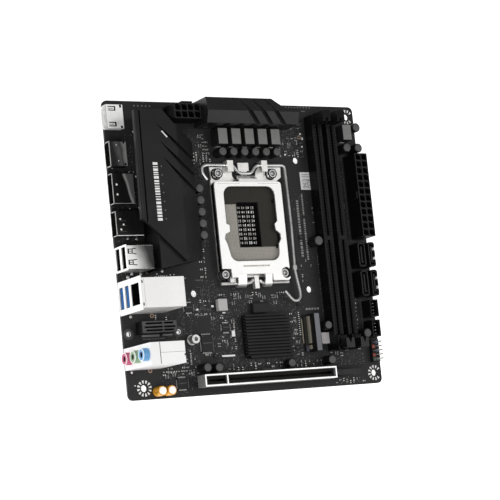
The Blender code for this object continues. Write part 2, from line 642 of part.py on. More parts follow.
def make_m2_sockets():
    """Drive socket facing a standoff, and the upright socket for the radio card."""
    body = boxes(((121.2, 20.9, GAP), (124.6, 43.2, 8.4)))
    lip = boxes(((117.5, 21.4, GAP + 0.1), (121.6, 42.7, 1.6)))
    mouth = boxes(((120.0, 22.3, 6.1), (123.6, 30.6, 7.4)), ((120.0, 31.9, 6.1), (123.6, 41.8, 7.4)))
    piece("drive_socket", body, "grey_plastic", (121.2, 20.9, GAP), join=(lip,), cut=(mouth,))
    x, y = 42.4, 31.8
    post = rods(((x, y, GAP), (x, y, 6.2)), radius=2.5, sides=20)
    flange = rods(((x, y, GAP + 0.05), (x, y, 1.1)), radius=2.9, sides=20)
    thread = rods(((x, y, 2.4), (x, y, 8)), radius=1.25, sides=12)
    piece("drive_standoff", post, "brass", (x, y, GAP), join=(flange,), cut=(thread,),
          smooth=True)
    radio = boxes(((8.2, 36.3, GAP), (30.0, 42.9, 8.2)))
    slots = boxes(*(((x0, y - 0.45, 3.0), (x1, y + 0.45, 10))
                    for y, left, right in ((41.6, 10.6, 27.8), (39.5, 9.8, 28.9), (37.7, 10.6, 27.8))
                    for x0, x1 in ((left, 20.9), (21.9, right))))
    piece("radio_socket", radio, "grey_plastic", (8.2, 36.3, GAP), cut=(slots,))


# ---- rear connectors -----------------------------------------------------------------
def port_outline(low, high, chamfer):
    """Front view of a connector, in Y and Z, with its lower corners cut off."""
    return [(low[0] + chamfer, low[1]), (high[0] - chamfer, low[1]),
            (high[0], low[1] + chamfer), high, (low[0], high[1]), (low[0], low[1] + chamfer)]


def make_video_port(name, low_y, high_y, top, back, chamfer, finish):
    wall = 0.5
    body = extrusion(port_outline((low_y, GAP), (high_y, top), chamfer), PORT_FRONT, back, "YZ")
    inside = extrusion(port_outline((low_y + wall, GAP + wall), (high_y - wall, top - wall),
                                    chamfer), PORT_FRONT - 2, back - 2.0, "YZ")
    tongue = boxes(((1.6, low_y + 2.4, 2.7), (back - 1.0, high_y - 2.4, 3.7)))
    front = place_mesh(f"{name}_cavity", inside, (PORT_FRONT, low_y, GAP), CUTTERS)
    front.hide_render = True
    front.display_type = "WIRE"
    obj = piece(name, body, finish, (PORT_FRONT, low_y, GAP))
    hollow = obj.modifiers.new("cavity", "BOOLEAN")
    hollow.operation = "DIFFERENCE"
    hollow.object = front
    contact = place_mesh(f"{name}_tongue", tongue, (PORT_FRONT, low_y, GAP), CUTTERS)
    contact.hide_render = True
    contact.display_type = "WIRE"
    fill = obj.modifiers.new("tongue", "BOOLEAN")
    fill.operation = "UNION"
    fill.object = contact


def make_video_ports():
    make_video_port("hdmi_port_1", 152.6, 166.4, 6.3, 9.6, 1.7, "nickel")
    make_video_port("hdmi_port_2", 130.7, 145.2, 6.8, 9.4, 1.7, "black_nickel")
    make_video_port("display_port", 109.5, 126.9, 6.4, 12.2, 1.2, "black_nickel")
    make_video_port("usb_port_single", 91.3, 105.3, 6.7, 15.8, 0.4, "black_nickel")


def usb_cavity(low_y, high_y, low_z, depth):
    """Hollow of one type A socket, cut around the tongue that carries its contacts."""
    high_z = low_z + 4.9
    return [((PORT_FRONT - 2, low_y, low_z), (PORT_FRONT + 1.6, high_y, high_z)),
            ((PORT_FRONT + 1.5, low_y, low_z), (depth, high_y, high_z - 2.4))]


def make_stack(name, low, high, depth, flange, cavities, finish):
    """Stacked connector block with a wider spring flange at its face."""
    body = boxes(((PORT_FRONT + 0.3, low[0], GAP), (depth, high[0], high[1])))
    rim = boxes(((PORT_FRONT, low[0] - flange, 1.3), (PORT_FRONT + 0.6, high[0] + flange,
                                                      high[1] + 0.35)))
    tools = [boxes(cavity) for cavity in cavities]
    piece(name, body, finish, (PORT_FRONT, low[0], GAP), join=(rim,), cut=tools)


def make_stacks():
    lower = usb_cavity(71.9, 84.0, 2.4, 9.0)
    upper = usb_cavity(71.9, 84.0, 9.7, 9.0)
    make_stack("usb_stack", (71.4, GAP), (84.5, 15.1), 15.8, 0.6, [*lower, *upper], "nickel")
    lower = usb_cavity(50.2, 62.4, 2.4, 9.0)
    upper = usb_cavity(50.2, 62.4, 9.6, 9.0)
    network = ((PORT_FRONT - 2, 50.3, 17.2), (13.0, 62.3, 27.0))
    make_stack("network_usb_stack", (48.0, GAP), (64.6, 29.1), 25.9, 1.1,
               [*lower, *upper, network], "nickel")


def make_audio_stack():
    """Tower of three audio jacks whose barrels stand out of its face."""
    front = PORT_FRONT + 0.5
    y = 22.7
    tower = boxes(((front, 16.7, GAP), (20.3, 28.8, 33.2)))
    heights = (7.8, 18.2, 28.6)
    barrels = rods(*(((JACK_FRONT, y, z), (front + 2, y, z)) for z in heights), radius=3.45,
                   sides=24)
    bores = rods(*(((JACK_FRONT - 2, y, z), (9, y, z)) for z in heights), radius=1.75, sides=16)
    piece("audio_stack", tower, "white_plastic", (front, 16.7, GAP), join=(barrels,),
          cut=(bores,))


# ---- drive and panel headers ---------------------------------------------------------
def make_sata_ports():
    """Four upright drive connectors in two columns, each with an L-shaped tongue."""
    places = [(156.7, 69.5, 161.8, 84.4), (164.1, 69.5, 168.7, 84.4),
              (156.7, 51.8, 161.8, 67.6), (164.1, 51.8, 168.7, 67.6)]
    top = 9.5
    for number, (x0, y0, x1, y1) in enumerate(places, 1):
        cavity = extrusion(rounded_rectangle((x0 + 0.8, y0 + 1.2), (x1 - 0.8, y1 - 1.2), 0.9, 2),
                           3.0, 12)
        tongue_x = (x0 + x1) / 2 + 0.2
        tongue = boxes(((tongue_x - 0.55, y0 + 2.6, 2.0), (tongue_x + 0.55, y1 - 2.4, top - 0.6)))
        foot = boxes(((tongue_x - 0.3, y0 + 2.5, 2.1), (tongue_x + 1.5, y0 + 3.6, top - 0.7)))
        shroud = extrusion(rounded_rectangle((x0, y0), (x1, y1), 1.3, 2), GAP, top)
        obj = piece(f"sata_port_{number}", shroud, "black_plastic", (x0, y0, GAP), cut=(cavity,))
        for label, tool in (("tongue", tongue), ("foot", foot)):
            helper = place_mesh(f"sata_{label}_{number}", tool, (x0, y0, GAP), CUTTERS)
            helper.hide_render = True
            helper.display_type = "WIRE"
            modifier = obj.modifiers.new(label, "BOOLEAN")
            modifier.operation = "UNION"
            modifier.object = helper


def make_headers():
    """Two boxed pin headers and the open header for the case's buttons and lights."""
    for number, (y0, y1) in enumerate(((39.4, 49.6), (27.4, 37.4)), 1):
        shroud = boxes(((161.3, y0, GAP), (167.1, y1, 8.9)))
        cavity = boxes(((162.1, y0 + 0.8, 2.4), (166.3, y1 - 0.8, 10)))
        piece(f"usb_header_{number}", shroud, "black_plastic", (161.3, y0, GAP), cut=(cavity,))
    base = boxes(((163.3, 12.8, GAP), (168.7, 26.0, 2.8)))
    pins = []
    for column in range(2):
        for row in range(5):
            x = 164.7 + 2.54 * column
            y = 14.3 + 2.54 * row
            pins.append(((x - 0.32, y - 0.32, 1.0), (x + 0.32, y + 0.32, 8.4)))
    piece("front_panel_header", base, "green_base", (163.3, 12.8, GAP), join=(boxes(*pins),))


make_board()
make_backplate()
make_socket()
make_frame()
make_frame_screws()
make_load_plate()
make_load_lever()
make_left_heatsink()
make_top_heatsink()
make_chipset_heatsink()
make_chokes()
make_capacitors()
make_power_connectors()
for slot_letter, slot_x in zip("ab", DIMM_CENTRES):
    make_memory_slot(slot_letter, slot_x)
make_card_slot()
make_m2_sockets()
make_video_ports()
make_stacks()
make_audio_stack()
make_sata_ports()
make_headers()
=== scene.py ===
"""Looks of a Mini-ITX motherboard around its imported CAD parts.

Places are given in board millimetres: X and Y from the board's lower left corner and Z from
its component side. board_point() turns them into the row frame from the circuit board's box.
"""
import math
import random

import bmesh
import bpy
from mathutils import Matrix, Vector


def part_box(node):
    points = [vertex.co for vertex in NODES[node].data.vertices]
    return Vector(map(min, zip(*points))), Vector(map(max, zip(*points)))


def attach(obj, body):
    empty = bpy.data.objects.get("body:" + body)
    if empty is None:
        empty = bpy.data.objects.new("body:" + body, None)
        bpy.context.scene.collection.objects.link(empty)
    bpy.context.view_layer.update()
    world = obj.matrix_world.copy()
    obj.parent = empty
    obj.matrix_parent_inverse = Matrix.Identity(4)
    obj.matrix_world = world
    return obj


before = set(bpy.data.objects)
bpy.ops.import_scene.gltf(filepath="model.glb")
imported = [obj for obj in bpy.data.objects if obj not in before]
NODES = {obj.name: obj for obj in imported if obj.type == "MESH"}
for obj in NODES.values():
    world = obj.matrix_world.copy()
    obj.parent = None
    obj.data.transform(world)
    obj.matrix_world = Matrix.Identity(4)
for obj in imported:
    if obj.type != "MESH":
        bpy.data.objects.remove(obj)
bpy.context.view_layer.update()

BOARD_LOW, BOARD_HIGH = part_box("circuit_board")
RING_PROUD = 0.00015
CORNER = Vector((BOARD_LOW.x, BOARD_LOW.y, BOARD_HIGH.z - RING_PROUD))
MM = 0.001
BOARD_MM = 170.18
FRAME_FACE = 1.9
PIN_PRICK = 0.0001


def board_point(x, y, z=0.0):
    return CORNER + Vector((x, y, z)) * MM


def node_box(name):
    """A CAD node's low and high corners in board millimetres."""
    low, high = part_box(name)
    return (low - CORNER) / MM, (high - CORNER) / MM


def node_middle(name):
    """X and Y of a CAD node's centre in board millimetres."""
    low, high = node_box(name)
    return (low.x + high.x) / 2, (low.y + high.y) / 2


def mirrored(centre, side, near, far):
    """Both ends, lower first, of a span that lies near to far from a centre."""
    return sorted((centre + side * near, centre + side * far))


# ---- materials -----------------------------------------------------------------------
def link(tree, start, end):
    tree.links.new(start, end)


def new_node(tree, kind, values):
    """A shader node with the named inputs set."""
    node = tree.nodes.new(kind)
    for name, value in values.items():
        node.inputs[name].default_value = value
    return node


def math_node(tree, operation, *values):
    node = tree.nodes.new("ShaderNodeMath")
    node.operation = operation
    for socket, value in zip(node.inputs, values):
        if isinstance(value, (int, float)):
            socket.default_value = value
        else:
            link(tree, value, socket)
    return node.outputs[0]


def coordinates(tree, stretch=(1, 1, 1), turn=0.0):
    source = tree.nodes.new("ShaderNodeTexCoord")
    mapping = tree.nodes.new("ShaderNodeMapping")
    mapping.inputs["Scale"].default_value = stretch
    mapping.inputs["Rotation"].default_value = (0, 0, turn)
    link(tree, source.outputs["Object"], mapping.inputs["Vector"])
    return mapping.outputs["Vector"]


def noise(tree, vector, scale, detail):
    node = new_node(tree, "ShaderNodeTexNoise",
                    {"Scale": scale, "Detail": detail, "Roughness": 0.55})
    link(tree, vector, node.inputs["Vector"])
    return node.outputs["Fac"]


def ramp(tree, fac, stops):
    node = tree.nodes.new("ShaderNodeValToRGB")
    while len(node.color_ramp.elements) < len(stops):
        node.color_ramp.elements.new(0.5)
    for element, (place, colour) in zip(node.color_ramp.elements, stops):
        element.position = place
        element.color = (*colour, 1.0)
    link(tree, fac, node.inputs["Fac"])
    return node.outputs["Color"]


def spread(tree, fac, low, high):
    """Stretches the middle of a noise to the range from low to high."""
    node = new_node(tree, "ShaderNodeMapRange",
                    {"From Min": 0.3, "From Max": 0.7, "To Min": low, "To Max": high})
    link(tree, fac, node.inputs["Value"])
    return node.outputs["Result"]


def mixed(tree, fac, first, second):
    node = tree.nodes.new("ShaderNodeMix")
    node.data_type = "RGBA"
    for socket, value in ((node.inputs["Factor"], fac), (node.inputs["A"], first),
                          (node.inputs["B"], second)):
        if isinstance(value, (int, float)):
            socket.default_value = value
        elif isinstance(value, tuple):
            socket.default_value = (*value, 1.0)
        else:
            link(tree, value, socket)
    return node.outputs["Result"]


def scaled(colour, factor):
    return tuple(min(1.0, channel * factor) for channel in colour)


def add_relief(tree, shader, height, strength, normal):
    node = new_node(tree, "ShaderNodeBump", {"Strength": strength, "Distance": RELIEF_DEPTH})
    link(tree, height, node.inputs["Height"])
    link(tree, normal, node.inputs["Normal"])
    link(tree, node.outputs["Normal"], shader.inputs["Normal"])


MATERIALS = {}
RELIEF_DEPTH = 0.00004
ROUGH_SWING = 0.08


def surface(name, colour, rough, metal=0.0, vary=0.15, cloud=60, grain=2500, bump=0.02,
            stretch=(1, 1, 1), edge=0.00015, edge_light=0.0, specular=0.5):
    """Principled material with cloudy colour, uneven roughness, fine grain and soft edges."""
    material = bpy.data.materials.new(name)
    material.use_nodes = True
    tree = material.node_tree
    shader = tree.nodes["Principled BSDF"]
    shader.inputs["Metallic"].default_value = metal
    shader.inputs["Specular IOR Level"].default_value = specular
    plain = coordinates(tree)
    brushed = coordinates(tree, stretch)
    cloudy = noise(tree, plain, cloud, 4)
    fine = noise(tree, brushed, grain, 2)
    shades = ((0.3, scaled(colour, 1 - vary)), (0.7, scaled(colour, 1 + vary)))
    base = ramp(tree, cloudy, shades)
    base = mixed(tree, spread(tree, fine, 0.0, 0.25), base, scaled(colour, 0.75))
    rounded = tree.nodes.new("ShaderNodeBevel")
    rounded.samples = 4
    rounded.inputs["Radius"].default_value = edge
    # edge_light paints a highlight on the edges: where the bevelled normal turns from the true one the
    # colour lightens, patchily.
    if edge_light:
        geometry = tree.nodes.new("ShaderNodeNewGeometry")
        dot = tree.nodes.new("ShaderNodeVectorMath")
        dot.operation = "DOT_PRODUCT"
        link(tree, rounded.outputs["Normal"], dot.inputs[0])
        link(tree, geometry.outputs["Normal"], dot.inputs[1])
        away = math_node(tree, "SUBTRACT", 1.0, dot.outputs["Value"])
        painted_edge_highlight = math_node(tree, "MULTIPLY", away, spread(tree, cloudy, 1.0, 5.0))
        painted_edge_highlight = math_node(tree, "MINIMUM", painted_edge_highlight, 1.0)
        base = mixed(tree, painted_edge_highlight, base, tuple(min(1.0, c + edge_light) for c in colour))
    link(tree, base, shader.inputs["Base Color"])
    uneven = spread(tree, cloudy, rough - ROUGH_SWING, rough + ROUGH_SWING)
    roughness = math_node(tree, "ADD", uneven, spread(tree, fine, -0.03, 0.05))
    link(tree, roughness, shader.inputs["Roughness"])
    add_relief(tree, shader, fine, bump * 10, rounded.outputs["Normal"])
    MATERIALS[name] = material
    return material


def reflection_gradient(name, stops, lean, tilt):
    """Painted reflection for a shell: its grey changes from the front edge to the back."""
    material = surface(name, (0.5, 0.5, 0.5), 0.45, specular=0.15)
    tree = material.node_tree
    shader = tree.nodes["Principled BSDF"]
    source = tree.nodes.new("ShaderNodeTexCoord")
    parts = tree.nodes.new("ShaderNodeSeparateXYZ")
    link(tree, source.outputs["Generated"], parts.inputs["Vector"])
    wave = noise(tree, source.outputs["Generated"], 2.2, 1)
    across = math_node(tree, "MULTIPLY", parts.outputs["Y"], tilt)
    along = math_node(tree, "ADD", math_node(tree, "ADD", parts.outputs["X"], across),
                      math_node(tree, "MULTIPLY", math_node(tree, "SUBTRACT", wave, 0.5), lean))
    tone = ramp(tree, along, tuple((place, (grey, grey, grey * 0.985)) for place, grey in stops))
    link(tree, tone, shader.inputs["Base Color"])


def make_solder_mask():
    """Black solder mask over copper: tracks show as faint raised lines."""
    material = surface("solder_mask", (0.0180, 0.0180, 0.0184), 0.45, vary=0.25, cloud=35,
                       grain=5000, bump=0.01, edge_light=0.05, specular=0.16)
    tree = material.node_tree
    shader = tree.nodes["Principled BSDF"]
    tracks = []
    for turn, scale in ((0.0, 330), (math.pi / 4, 410)):
        brick = new_node(tree, "ShaderNodeTexBrick",
                         {"Scale": scale, "Mortar Size": 0.07, "Mortar Smooth": 0.3,
                          "Brick Width": 9.0, "Row Height": 0.32})
        link(tree, coordinates(tree, turn=turn), brick.inputs["Vector"])
        tracks.append(brick.outputs["Fac"])
    patch = noise(tree, coordinates(tree), 55, 1)
    choose = math_node(tree, "GREATER_THAN", patch, 0.5)
    pick = tree.nodes.new("ShaderNodeMix")
    link(tree, choose, pick.inputs["Factor"])
    link(tree, tracks[0], pick.inputs["A"])
    link(tree, tracks[1], pick.inputs["B"])
    lines = pick.outputs["Result"]
    old = shader.inputs["Base Color"].links[0].from_socket
    base = mixed(tree, math_node(tree, "MULTIPLY", lines, 0.45), old, (0.034, 0.034, 0.035))
    link(tree, base, shader.inputs["Base Color"])
    add_relief(tree, shader, lines, 0.35, shader.inputs["Normal"].links[0].from_socket)


def make_plastics():
    """Dark and grey mouldings of the socket, slots and headers."""
    # Lighter copy of the black moulding for the tops of connector cell walls: painted highlight.
    surface("connector_edge_highlight", (0.022, 0.022, 0.023), 0.5, vary=0.2, specular=0.2)
    surface("black_plastic", (0.0032, 0.0032, 0.0034), 0.42, grain=3500, bump=0.03,
            edge_light=0.085, specular=0.12)
    surface("deep_black", (0.002, 0.002, 0.002), 0.6, specular=0.05)
    surface("satin_black", (0.0045, 0.0045, 0.0048), 0.36, grain=3000, edge_light=0.10, specular=0.3)
    surface("slot_strip", (0.0055, 0.0055, 0.006), 0.40, grain=2600, bump=0.04, edge_light=0.05,
            specular=0.15)
    surface("grey_plastic", (0.006, 0.006, 0.0065), 0.45, grain=3500, edge_light=0.06,
            specular=0.15)
    surface("m2_grey", (0.125, 0.13, 0.145), 0.45, grain=3500, edge_light=0.1)
    surface("m2_tan", (0.22, 0.20, 0.165), 0.5, vary=0.1)
    surface("m2_violet", (0.045, 0.042, 0.06), 0.5, vary=0.3, cloud=600)
    surface("olive_dark", (0.020, 0.020, 0.015), 0.5, vary=0.2, specular=0.2)
    surface("radio_grey", (0.075, 0.075, 0.077), 0.5, vary=0.15, cloud=400, specular=0.2)
    surface("radio_tab", (0.20, 0.20, 0.195), 0.5, vary=0.12, cloud=500)


def make_port_finishes():
    """Shells and rims of the rear connectors and card slot; painted reflections and glints."""
    surface("dark_shell", (0.010, 0.010, 0.010), 0.34, metal=0.3, grain=1500,
            stretch=(1, 12, 1), edge_light=0.12, specular=0.2)
    surface("port_rim", (0.42, 0.42, 0.41), 0.4, metal=0.5, vary=0.1)
    surface("slot_shell_side", (0.17, 0.17, 0.167), 0.5, vary=0.5, cloud=1400, specular=0.1)
    # Painted reflections laid over the tops of three shells.
    reflection_gradient("usb_shell_painted_reflection", ((0.0, 0.90), (0.42, 0.72), (0.62, 0.40), (0.84, 0.13), (1.0, 0.03)),
             0.16, 0.32)
    reflection_gradient("hdmi_painted_reflection", ((0.0, 0.012), (0.35, 0.02), (0.62, 0.09), (0.78, 0.05), (0.9, 0.14),
                           (1.0, 0.20)), 0.35, 0.22)
    reflection_gradient("display_painted_reflection", ((0.0, 0.005), (0.80, 0.006), (0.89, 0.26), (0.94, 0.16), (1.0, 0.07)),
             0.12, 0.34)
    surface("port_sheen", (0.10, 0.10, 0.093), 0.5, vary=0.35, cloud=500)
    # White for painted glints and edge highlights on the shells.
    surface("port_highlight_white", (0.86, 0.86, 0.85), 0.45, vary=0.05)
    surface("bright_shell", (0.88, 0.88, 0.87), 0.30, metal=0.75, vary=0.04, grain=1800,
            stretch=(1, 10, 1), edge_light=0.05)
    surface("video_shell", (0.90, 0.90, 0.89), 0.38, metal=0.35, vary=0.08, cloud=220, grain=1800)


def make_metals():
    """Processor socket, heatsinks, and the pale shell of the network stack."""
    surface("nickel_plate", (0.83, 0.825, 0.81), 0.36, metal=0.85, vary=0.10, cloud=90, grain=1500,
            stretch=(14, 1, 1), bump=0.03, edge_light=0.3)
    surface("frame_plate", (0.74, 0.73, 0.71), 0.38, metal=0.8, vary=0.25, cloud=160, grain=1500,
            edge_light=0.35)
    surface("polished_wire", (0.74, 0.74, 0.73), 0.28, metal=0.9, vary=0.05, edge=0.0001)
    surface("zinc_steel", (0.50, 0.50, 0.50), 0.38, metal=0.9, vary=0.15, cloud=120, grain=900,
            edge_light=0.25)
    surface("anodised", (0.0100, 0.0100, 0.0103), 0.34, vary=0.10, cloud=40, grain=4200,
            bump=0.05, edge=0.0003, edge_light=0.04, specular=0.34)
    surface("anodised_side", (0.0035, 0.0035, 0.0037), 0.42, vary=0.10, cloud=40, grain=4200,
            edge_light=0.03, specular=0.26)
    surface("lan_shell", (0.82, 0.815, 0.80), 0.42, metal=0.45, vary=0.04, grain=1800)


def make_component_finishes():
    """Chokes, cans, jacks, contacts, solder, print and the small parts."""
    surface("via_grey", (0.15, 0.15, 0.147), 0.5, vary=0.4, cloud=900, specular=0.2)
    surface("socket_part", (0.42, 0.41, 0.39), 0.5, vary=0.35, cloud=700)
    # Near-black copy of the ferrite for the choke bodies: painted shade on their sides; their tops get the
    # lighter ferrite.
    surface("choke_painted_shade", (0.010, 0.010, 0.010), 0.6, vary=0.2, cloud=300, specular=0.2)
    surface("ferrite", (0.195, 0.194, 0.189), 0.62, vary=0.08, cloud=300, grain=2800, bump=0.10,
            edge=0.0003, edge_light=0.08, specular=0.2)
    surface("choke_mark", (0.18, 0.18, 0.175), 0.6, vary=0.1, cloud=900)
    surface("can_sleeve", (0.006, 0.006, 0.006), 0.38, vary=0.1, specular=0.2)
    surface("can_top", (0.082, 0.082, 0.081), 0.45, metal=0.2, vary=0.14, grain=2000,
            edge_light=0.08, specular=0.3)
    surface("can_pale", (0.44, 0.42, 0.42), 0.5, vary=0.08, cloud=300)
    surface("gold_sleeve", (0.74, 0.34, 0.02), 0.30, metal=0.6, vary=0.10, edge_light=0.1)
    surface("can_silver", (0.95, 0.93, 0.88), 0.35, metal=0.5, vary=0.04)
    surface("white_plastic", (0.90, 0.90, 0.895), 0.42, vary=0.03, grain=2500, bump=0.015)
    surface("jack_pink", (0.52, 0.09, 0.19), 0.4, vary=0.08)
    surface("jack_green", (0.24, 0.36, 0.22), 0.4, vary=0.10)
    surface("jack_blue", (0.12, 0.33, 0.60), 0.4, vary=0.08)
    surface("usb_blue", (0.003, 0.085, 0.27), 0.5, vary=0.15, cloud=300, specular=0.1)
    surface("contact_gold", (0.80, 0.62, 0.32), 0.28, metal=1.0, vary=0.08)
    # Contact metal darkened almost to black: painted shade for contacts deep in slots and cavities.
    surface("gold_in_painted_shade", (0.045, 0.036, 0.020), 0.4, metal=0.6, vary=0.15)
    # Lit and shaded copies of the contact field and its pins: the pale ones paint sheen, the dark ones
    # paint shade.
    surface("socket_field", (0.028, 0.026, 0.022), 0.55, vary=0.10, grain=3000, specular=0.2)
    surface("socket_painted_sheen", (0.30, 0.285, 0.26), 0.55, vary=0.10, grain=3000, specular=0.2)
    surface("socket_pin", (0.52, 0.49, 0.44), 0.45, metal=0.5, vary=0.12, cloud=500)
    surface("socket_pin_painted_shade", (0.050, 0.046, 0.038), 0.45, metal=0.3, vary=0.15, specular=0.3)
    surface("tin", (0.62, 0.62, 0.61), 0.38, metal=0.8, vary=0.2, cloud=400, grain=1500,
            bump=0.05)
    surface("copper_ring", (0.36, 0.25, 0.18), 0.45, metal=0.4, vary=0.1)
    surface("silkscreen", (0.23, 0.23, 0.227), 0.6, vary=0.25, cloud=900)
    surface("silkscreen_dim", (0.12, 0.12, 0.12), 0.6, vary=0.3, cloud=900)
    surface("mark_white", (0.80, 0.80, 0.79), 0.5, vary=0.05, cloud=700)
    surface("mark_tan", (0.30, 0.26, 0.20), 0.5, vary=0.2, cloud=900)
    surface("label_paper", (0.64, 0.64, 0.64), 0.65, vary=0.05, cloud=500, grain=4000)
    surface("ink", (0.16, 0.16, 0.16), 0.6, vary=0.1)
    surface("chip", (0.016, 0.016, 0.0165), 0.50, grain=5000, bump=0.06, edge_light=0.05,
            specular=0.2)
    surface("ceramic_tan", (0.13, 0.085, 0.05), 0.5, vary=0.3, cloud=900, specular=0.2)
    surface("ceramic_grey", (0.05, 0.05, 0.052), 0.5, vary=0.3, cloud=900, specular=0.2)
    surface("resistor", (0.006, 0.006, 0.007), 0.4, specular=0.2)
    surface("header_green", (0.045, 0.075, 0.055), 0.5, vary=0.1)
    surface("header_blue", (0.030, 0.050, 0.11), 0.5, vary=0.1)
    surface("header_red", (0.30, 0.035, 0.02), 0.5, vary=0.1)
    surface("header_black", (0.006, 0.007, 0.0065), 0.5, vary=0.1, specular=0.15)
    # Painted highlight for the edges of the SATA openings.
    surface("sata_highlight", (0.035, 0.035, 0.036), 0.5, vary=0.15)
    surface("trim_grey", (0.055, 0.055, 0.057), 0.45, vary=0.1, specular=0.2)


# ---- mesh groups ---------------------------------------------------------------------
class Group:
    """A mesh that gathers many small shapes of one material riding on one body."""

    def __init__(self, name, finish, body="board", bevel=0.0, smooth=False):
        self.name = name
        self.finish = finish
        self.body = body
        self.bevel = bevel
        self.smooth = smooth
        self.bm = bmesh.new()

    def box(self, low, high, turn=0.0):
        low = Vector(low)
        high = Vector(high)
        centre = (low + high) / 2
        half = (high - low) / 2
        twist = Matrix.Rotation(turn, 3, "Z")
        verts = [self.bm.verts.new(centre + twist @ Vector((sx * half.x, sy * half.y, sz * half.z)))
                 for sz in (-1, 1) for sx, sy in ((-1, -1), (1, -1), (1, 1), (-1, 1))]
        for face in ((3, 2, 1, 0), (4, 5, 6, 7), (0, 1, 5, 4), (1, 2, 6, 5), (2, 3, 7, 6),
                     (3, 0, 4, 7)):
            self.bm.faces.new([verts[k] for k in face])

    def block(self, x, y, half_x, half_y, low, high):
        """A box about a centre in X and Y, from low to high."""
        self.box((x - half_x, y - half_y, low), (x + half_x, y + half_y, high))

    def frame(self, low, high, width):
        """Four bars round the edge of the box from low to high."""
        (x0, y0, z0), (x1, y1, z1) = low, high
        self.box(low, (x1, y0 + width, z1))
        self.box((x0, y1 - width, z0), high)
        self.box((x0, y0 + width, z0), (x0 + width, y1 - width, z1))
        self.box((x1 - width, y0 + width, z0), (x1, y1 - width, z1))

    def disc(self, x, y, radius, low, high, sides):
        """A flat disc about a vertical axis."""
        self.ring((x, y), PIN_PRICK, radius, low, high, sides)

    def rod(self, start, end, radius, sides):
        start = Vector(start)
        along = Vector(end) - start
        turn = along.to_track_quat("Z", "Y").to_matrix().to_4x4()
        bmesh.ops.create_cone(self.bm, cap_ends=True, segments=sides, radius1=radius,
                              radius2=radius, depth=along.length,
                              matrix=Matrix.Translation(start + along / 2) @ turn)

    def dome(self, centre, radius, height):
        bmesh.ops.create_uvsphere(self.bm, u_segments=10, v_segments=6, radius=1.0,
                                  matrix=Matrix.Translation(Vector(centre))
                                  @ Matrix.Diagonal((radius, radius, height, 1.0)))

    def ring(self, centre, inner, outer, low, high, sides=28):
        """Flat ring about a vertical axis."""
        loops = []
        for radius, z in ((inner, low), (inner, high), (outer, high), (outer, low)):
            loops.append([self.bm.verts.new((centre[0] + radius * math.cos(math.tau * k / sides),
                                             centre[1] + radius * math.sin(math.tau * k / sides),
                                             z)) for k in range(sides)])
        for a, b in zip(loops, loops[1:] + loops[:1]):
            for k in range(sides):
                self.bm.faces.new((a[k - 1], a[k], b[k], b[k - 1]))

    def plate(self, outline, low, high):
        """A convex outline in X and Y, extruded from low to high."""
        lower = [self.bm.verts.new((x, y, low)) for x, y in outline]
        upper = [self.bm.verts.new((x, y, high)) for x, y in outline]
        self.bm.faces.new(list(reversed(lower)))
        self.bm.faces.new(upper)
        for k in range(len(outline)):
            self.bm.faces.new((lower[k - 1], lower[k], upper[k], upper[k - 1]))

    def done(self, slot=None):
        for vert in self.bm.verts:
            vert.co = board_point(*vert.co)
        bmesh.ops.recalc_face_normals(self.bm, faces=self.bm.faces)
        if self.bevel:
            edges = [e for e in self.bm.edges if e.is_manifold and e.calc_face_angle() > 0.6]
            bmesh.ops.bevel(self.bm, geom=edges, offset=self.bevel * MM, segments=2,
                            affect="EDGES", profile=0.6, clamp_overlap=True)
        mesh = bpy.data.meshes.new(self.name)
        self.bm.to_mesh(mesh)
        self.bm.free()
        obj = bpy.data.objects.new(self.name, mesh)
        bpy.context.scene.collection.objects.link(obj)
        mesh.materials.append(MATERIALS[self.finish])
        if self.smooth:
            mesh.shade_smooth()
            mesh.set_sharp_from_angle(angle=math.radians(35))
        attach(obj, self.body)


def finish_node(name, finish):
    """Gives a CAD node its detailed material."""
    mesh = NODES[name].data
    mesh.materials.clear()
    mesh.materials.append(MATERIALS[finish])


def finish_cad_nodes():
    by_start = (
        ("circuit_board", "solder_mask"), ("socket_housing", "black_plastic"),
        ("socket_contacts", "socket_field"), ("socket_frame", "frame_plate"),
        ("load_plate", "nickel_plate"), ("load_lever", "polished_wire"),
        ("socket_backplate", "zinc_steel"), ("frame_screw", "zinc_steel"),
        ("vrm_heatsink_left", "anodised_side"), ("chipset_heatsink", "anodised_side"),
        ("vrm_heatsink", "anodised"), ("choke", "choke_painted_shade"),
        ("capacitor", "can_sleeve"), ("audio_capacitor", "gold_sleeve"),
        ("power_connector", "black_plastic"), ("memory_slot", "black_plastic"),
        ("memory_latch", "satin_black"), ("card_slot_shell", "slot_shell_side"),
        ("card_slot", "black_plastic"), ("card_latch", "satin_black"),
        ("drive_socket", "grey_plastic"), ("radio_socket", "grey_plastic"),
        ("drive_standoff", "tin"), ("hdmi_port_1", "video_shell"),
        ("hdmi_port_2", "dark_shell"), ("display_port", "dark_shell"),
        ("usb_port_single", "dark_shell"), ("usb_stack", "bright_shell"),
        ("network_usb_stack", "lan_shell"), ("audio_stack", "white_plastic"),
        ("sata_port", "black_plastic"), ("usb_header", "black_plastic"),
        ("front_panel_header", "header_black"))
    for node in NODES:
        for start, finish in by_start:
            if node.startswith(start):
                finish_node(node, finish)
                break


# ---- circuit board -------------------------------------------------------------------
MOUNT_HOLES = ((10.16, 6.35), (165.10, 6.35), (33.02, 163.83), (165.10, 163.83))
BAR_GAP = 0.35


def dashes(group, x, y, length, height, seed, upright=False, z=0.012):
    """A row of plain bars that stands for a line of printing."""
    chooser = random.Random(seed)
    place = 0.0
    while place < length:
        width = min(chooser.choice((0.5, 0.7, 0.9, 1.2)) * height, length - place)
        if width > 0.15:
            size = (height, width) if upright else (width, height)
            x0, y0 = (x, y + place) if upright else (x + place, y)
            group.box((x0, y0, z), (x0 + size[0], y0 + size[1], z + 0.02))
        place += width + BAR_GAP * height


def specks(group, places):
    """Round domes of solder: each place is X, Y and radius."""
    for x, y, radius in places:
        group.dome((x, y, 0.01), radius, 0.25)


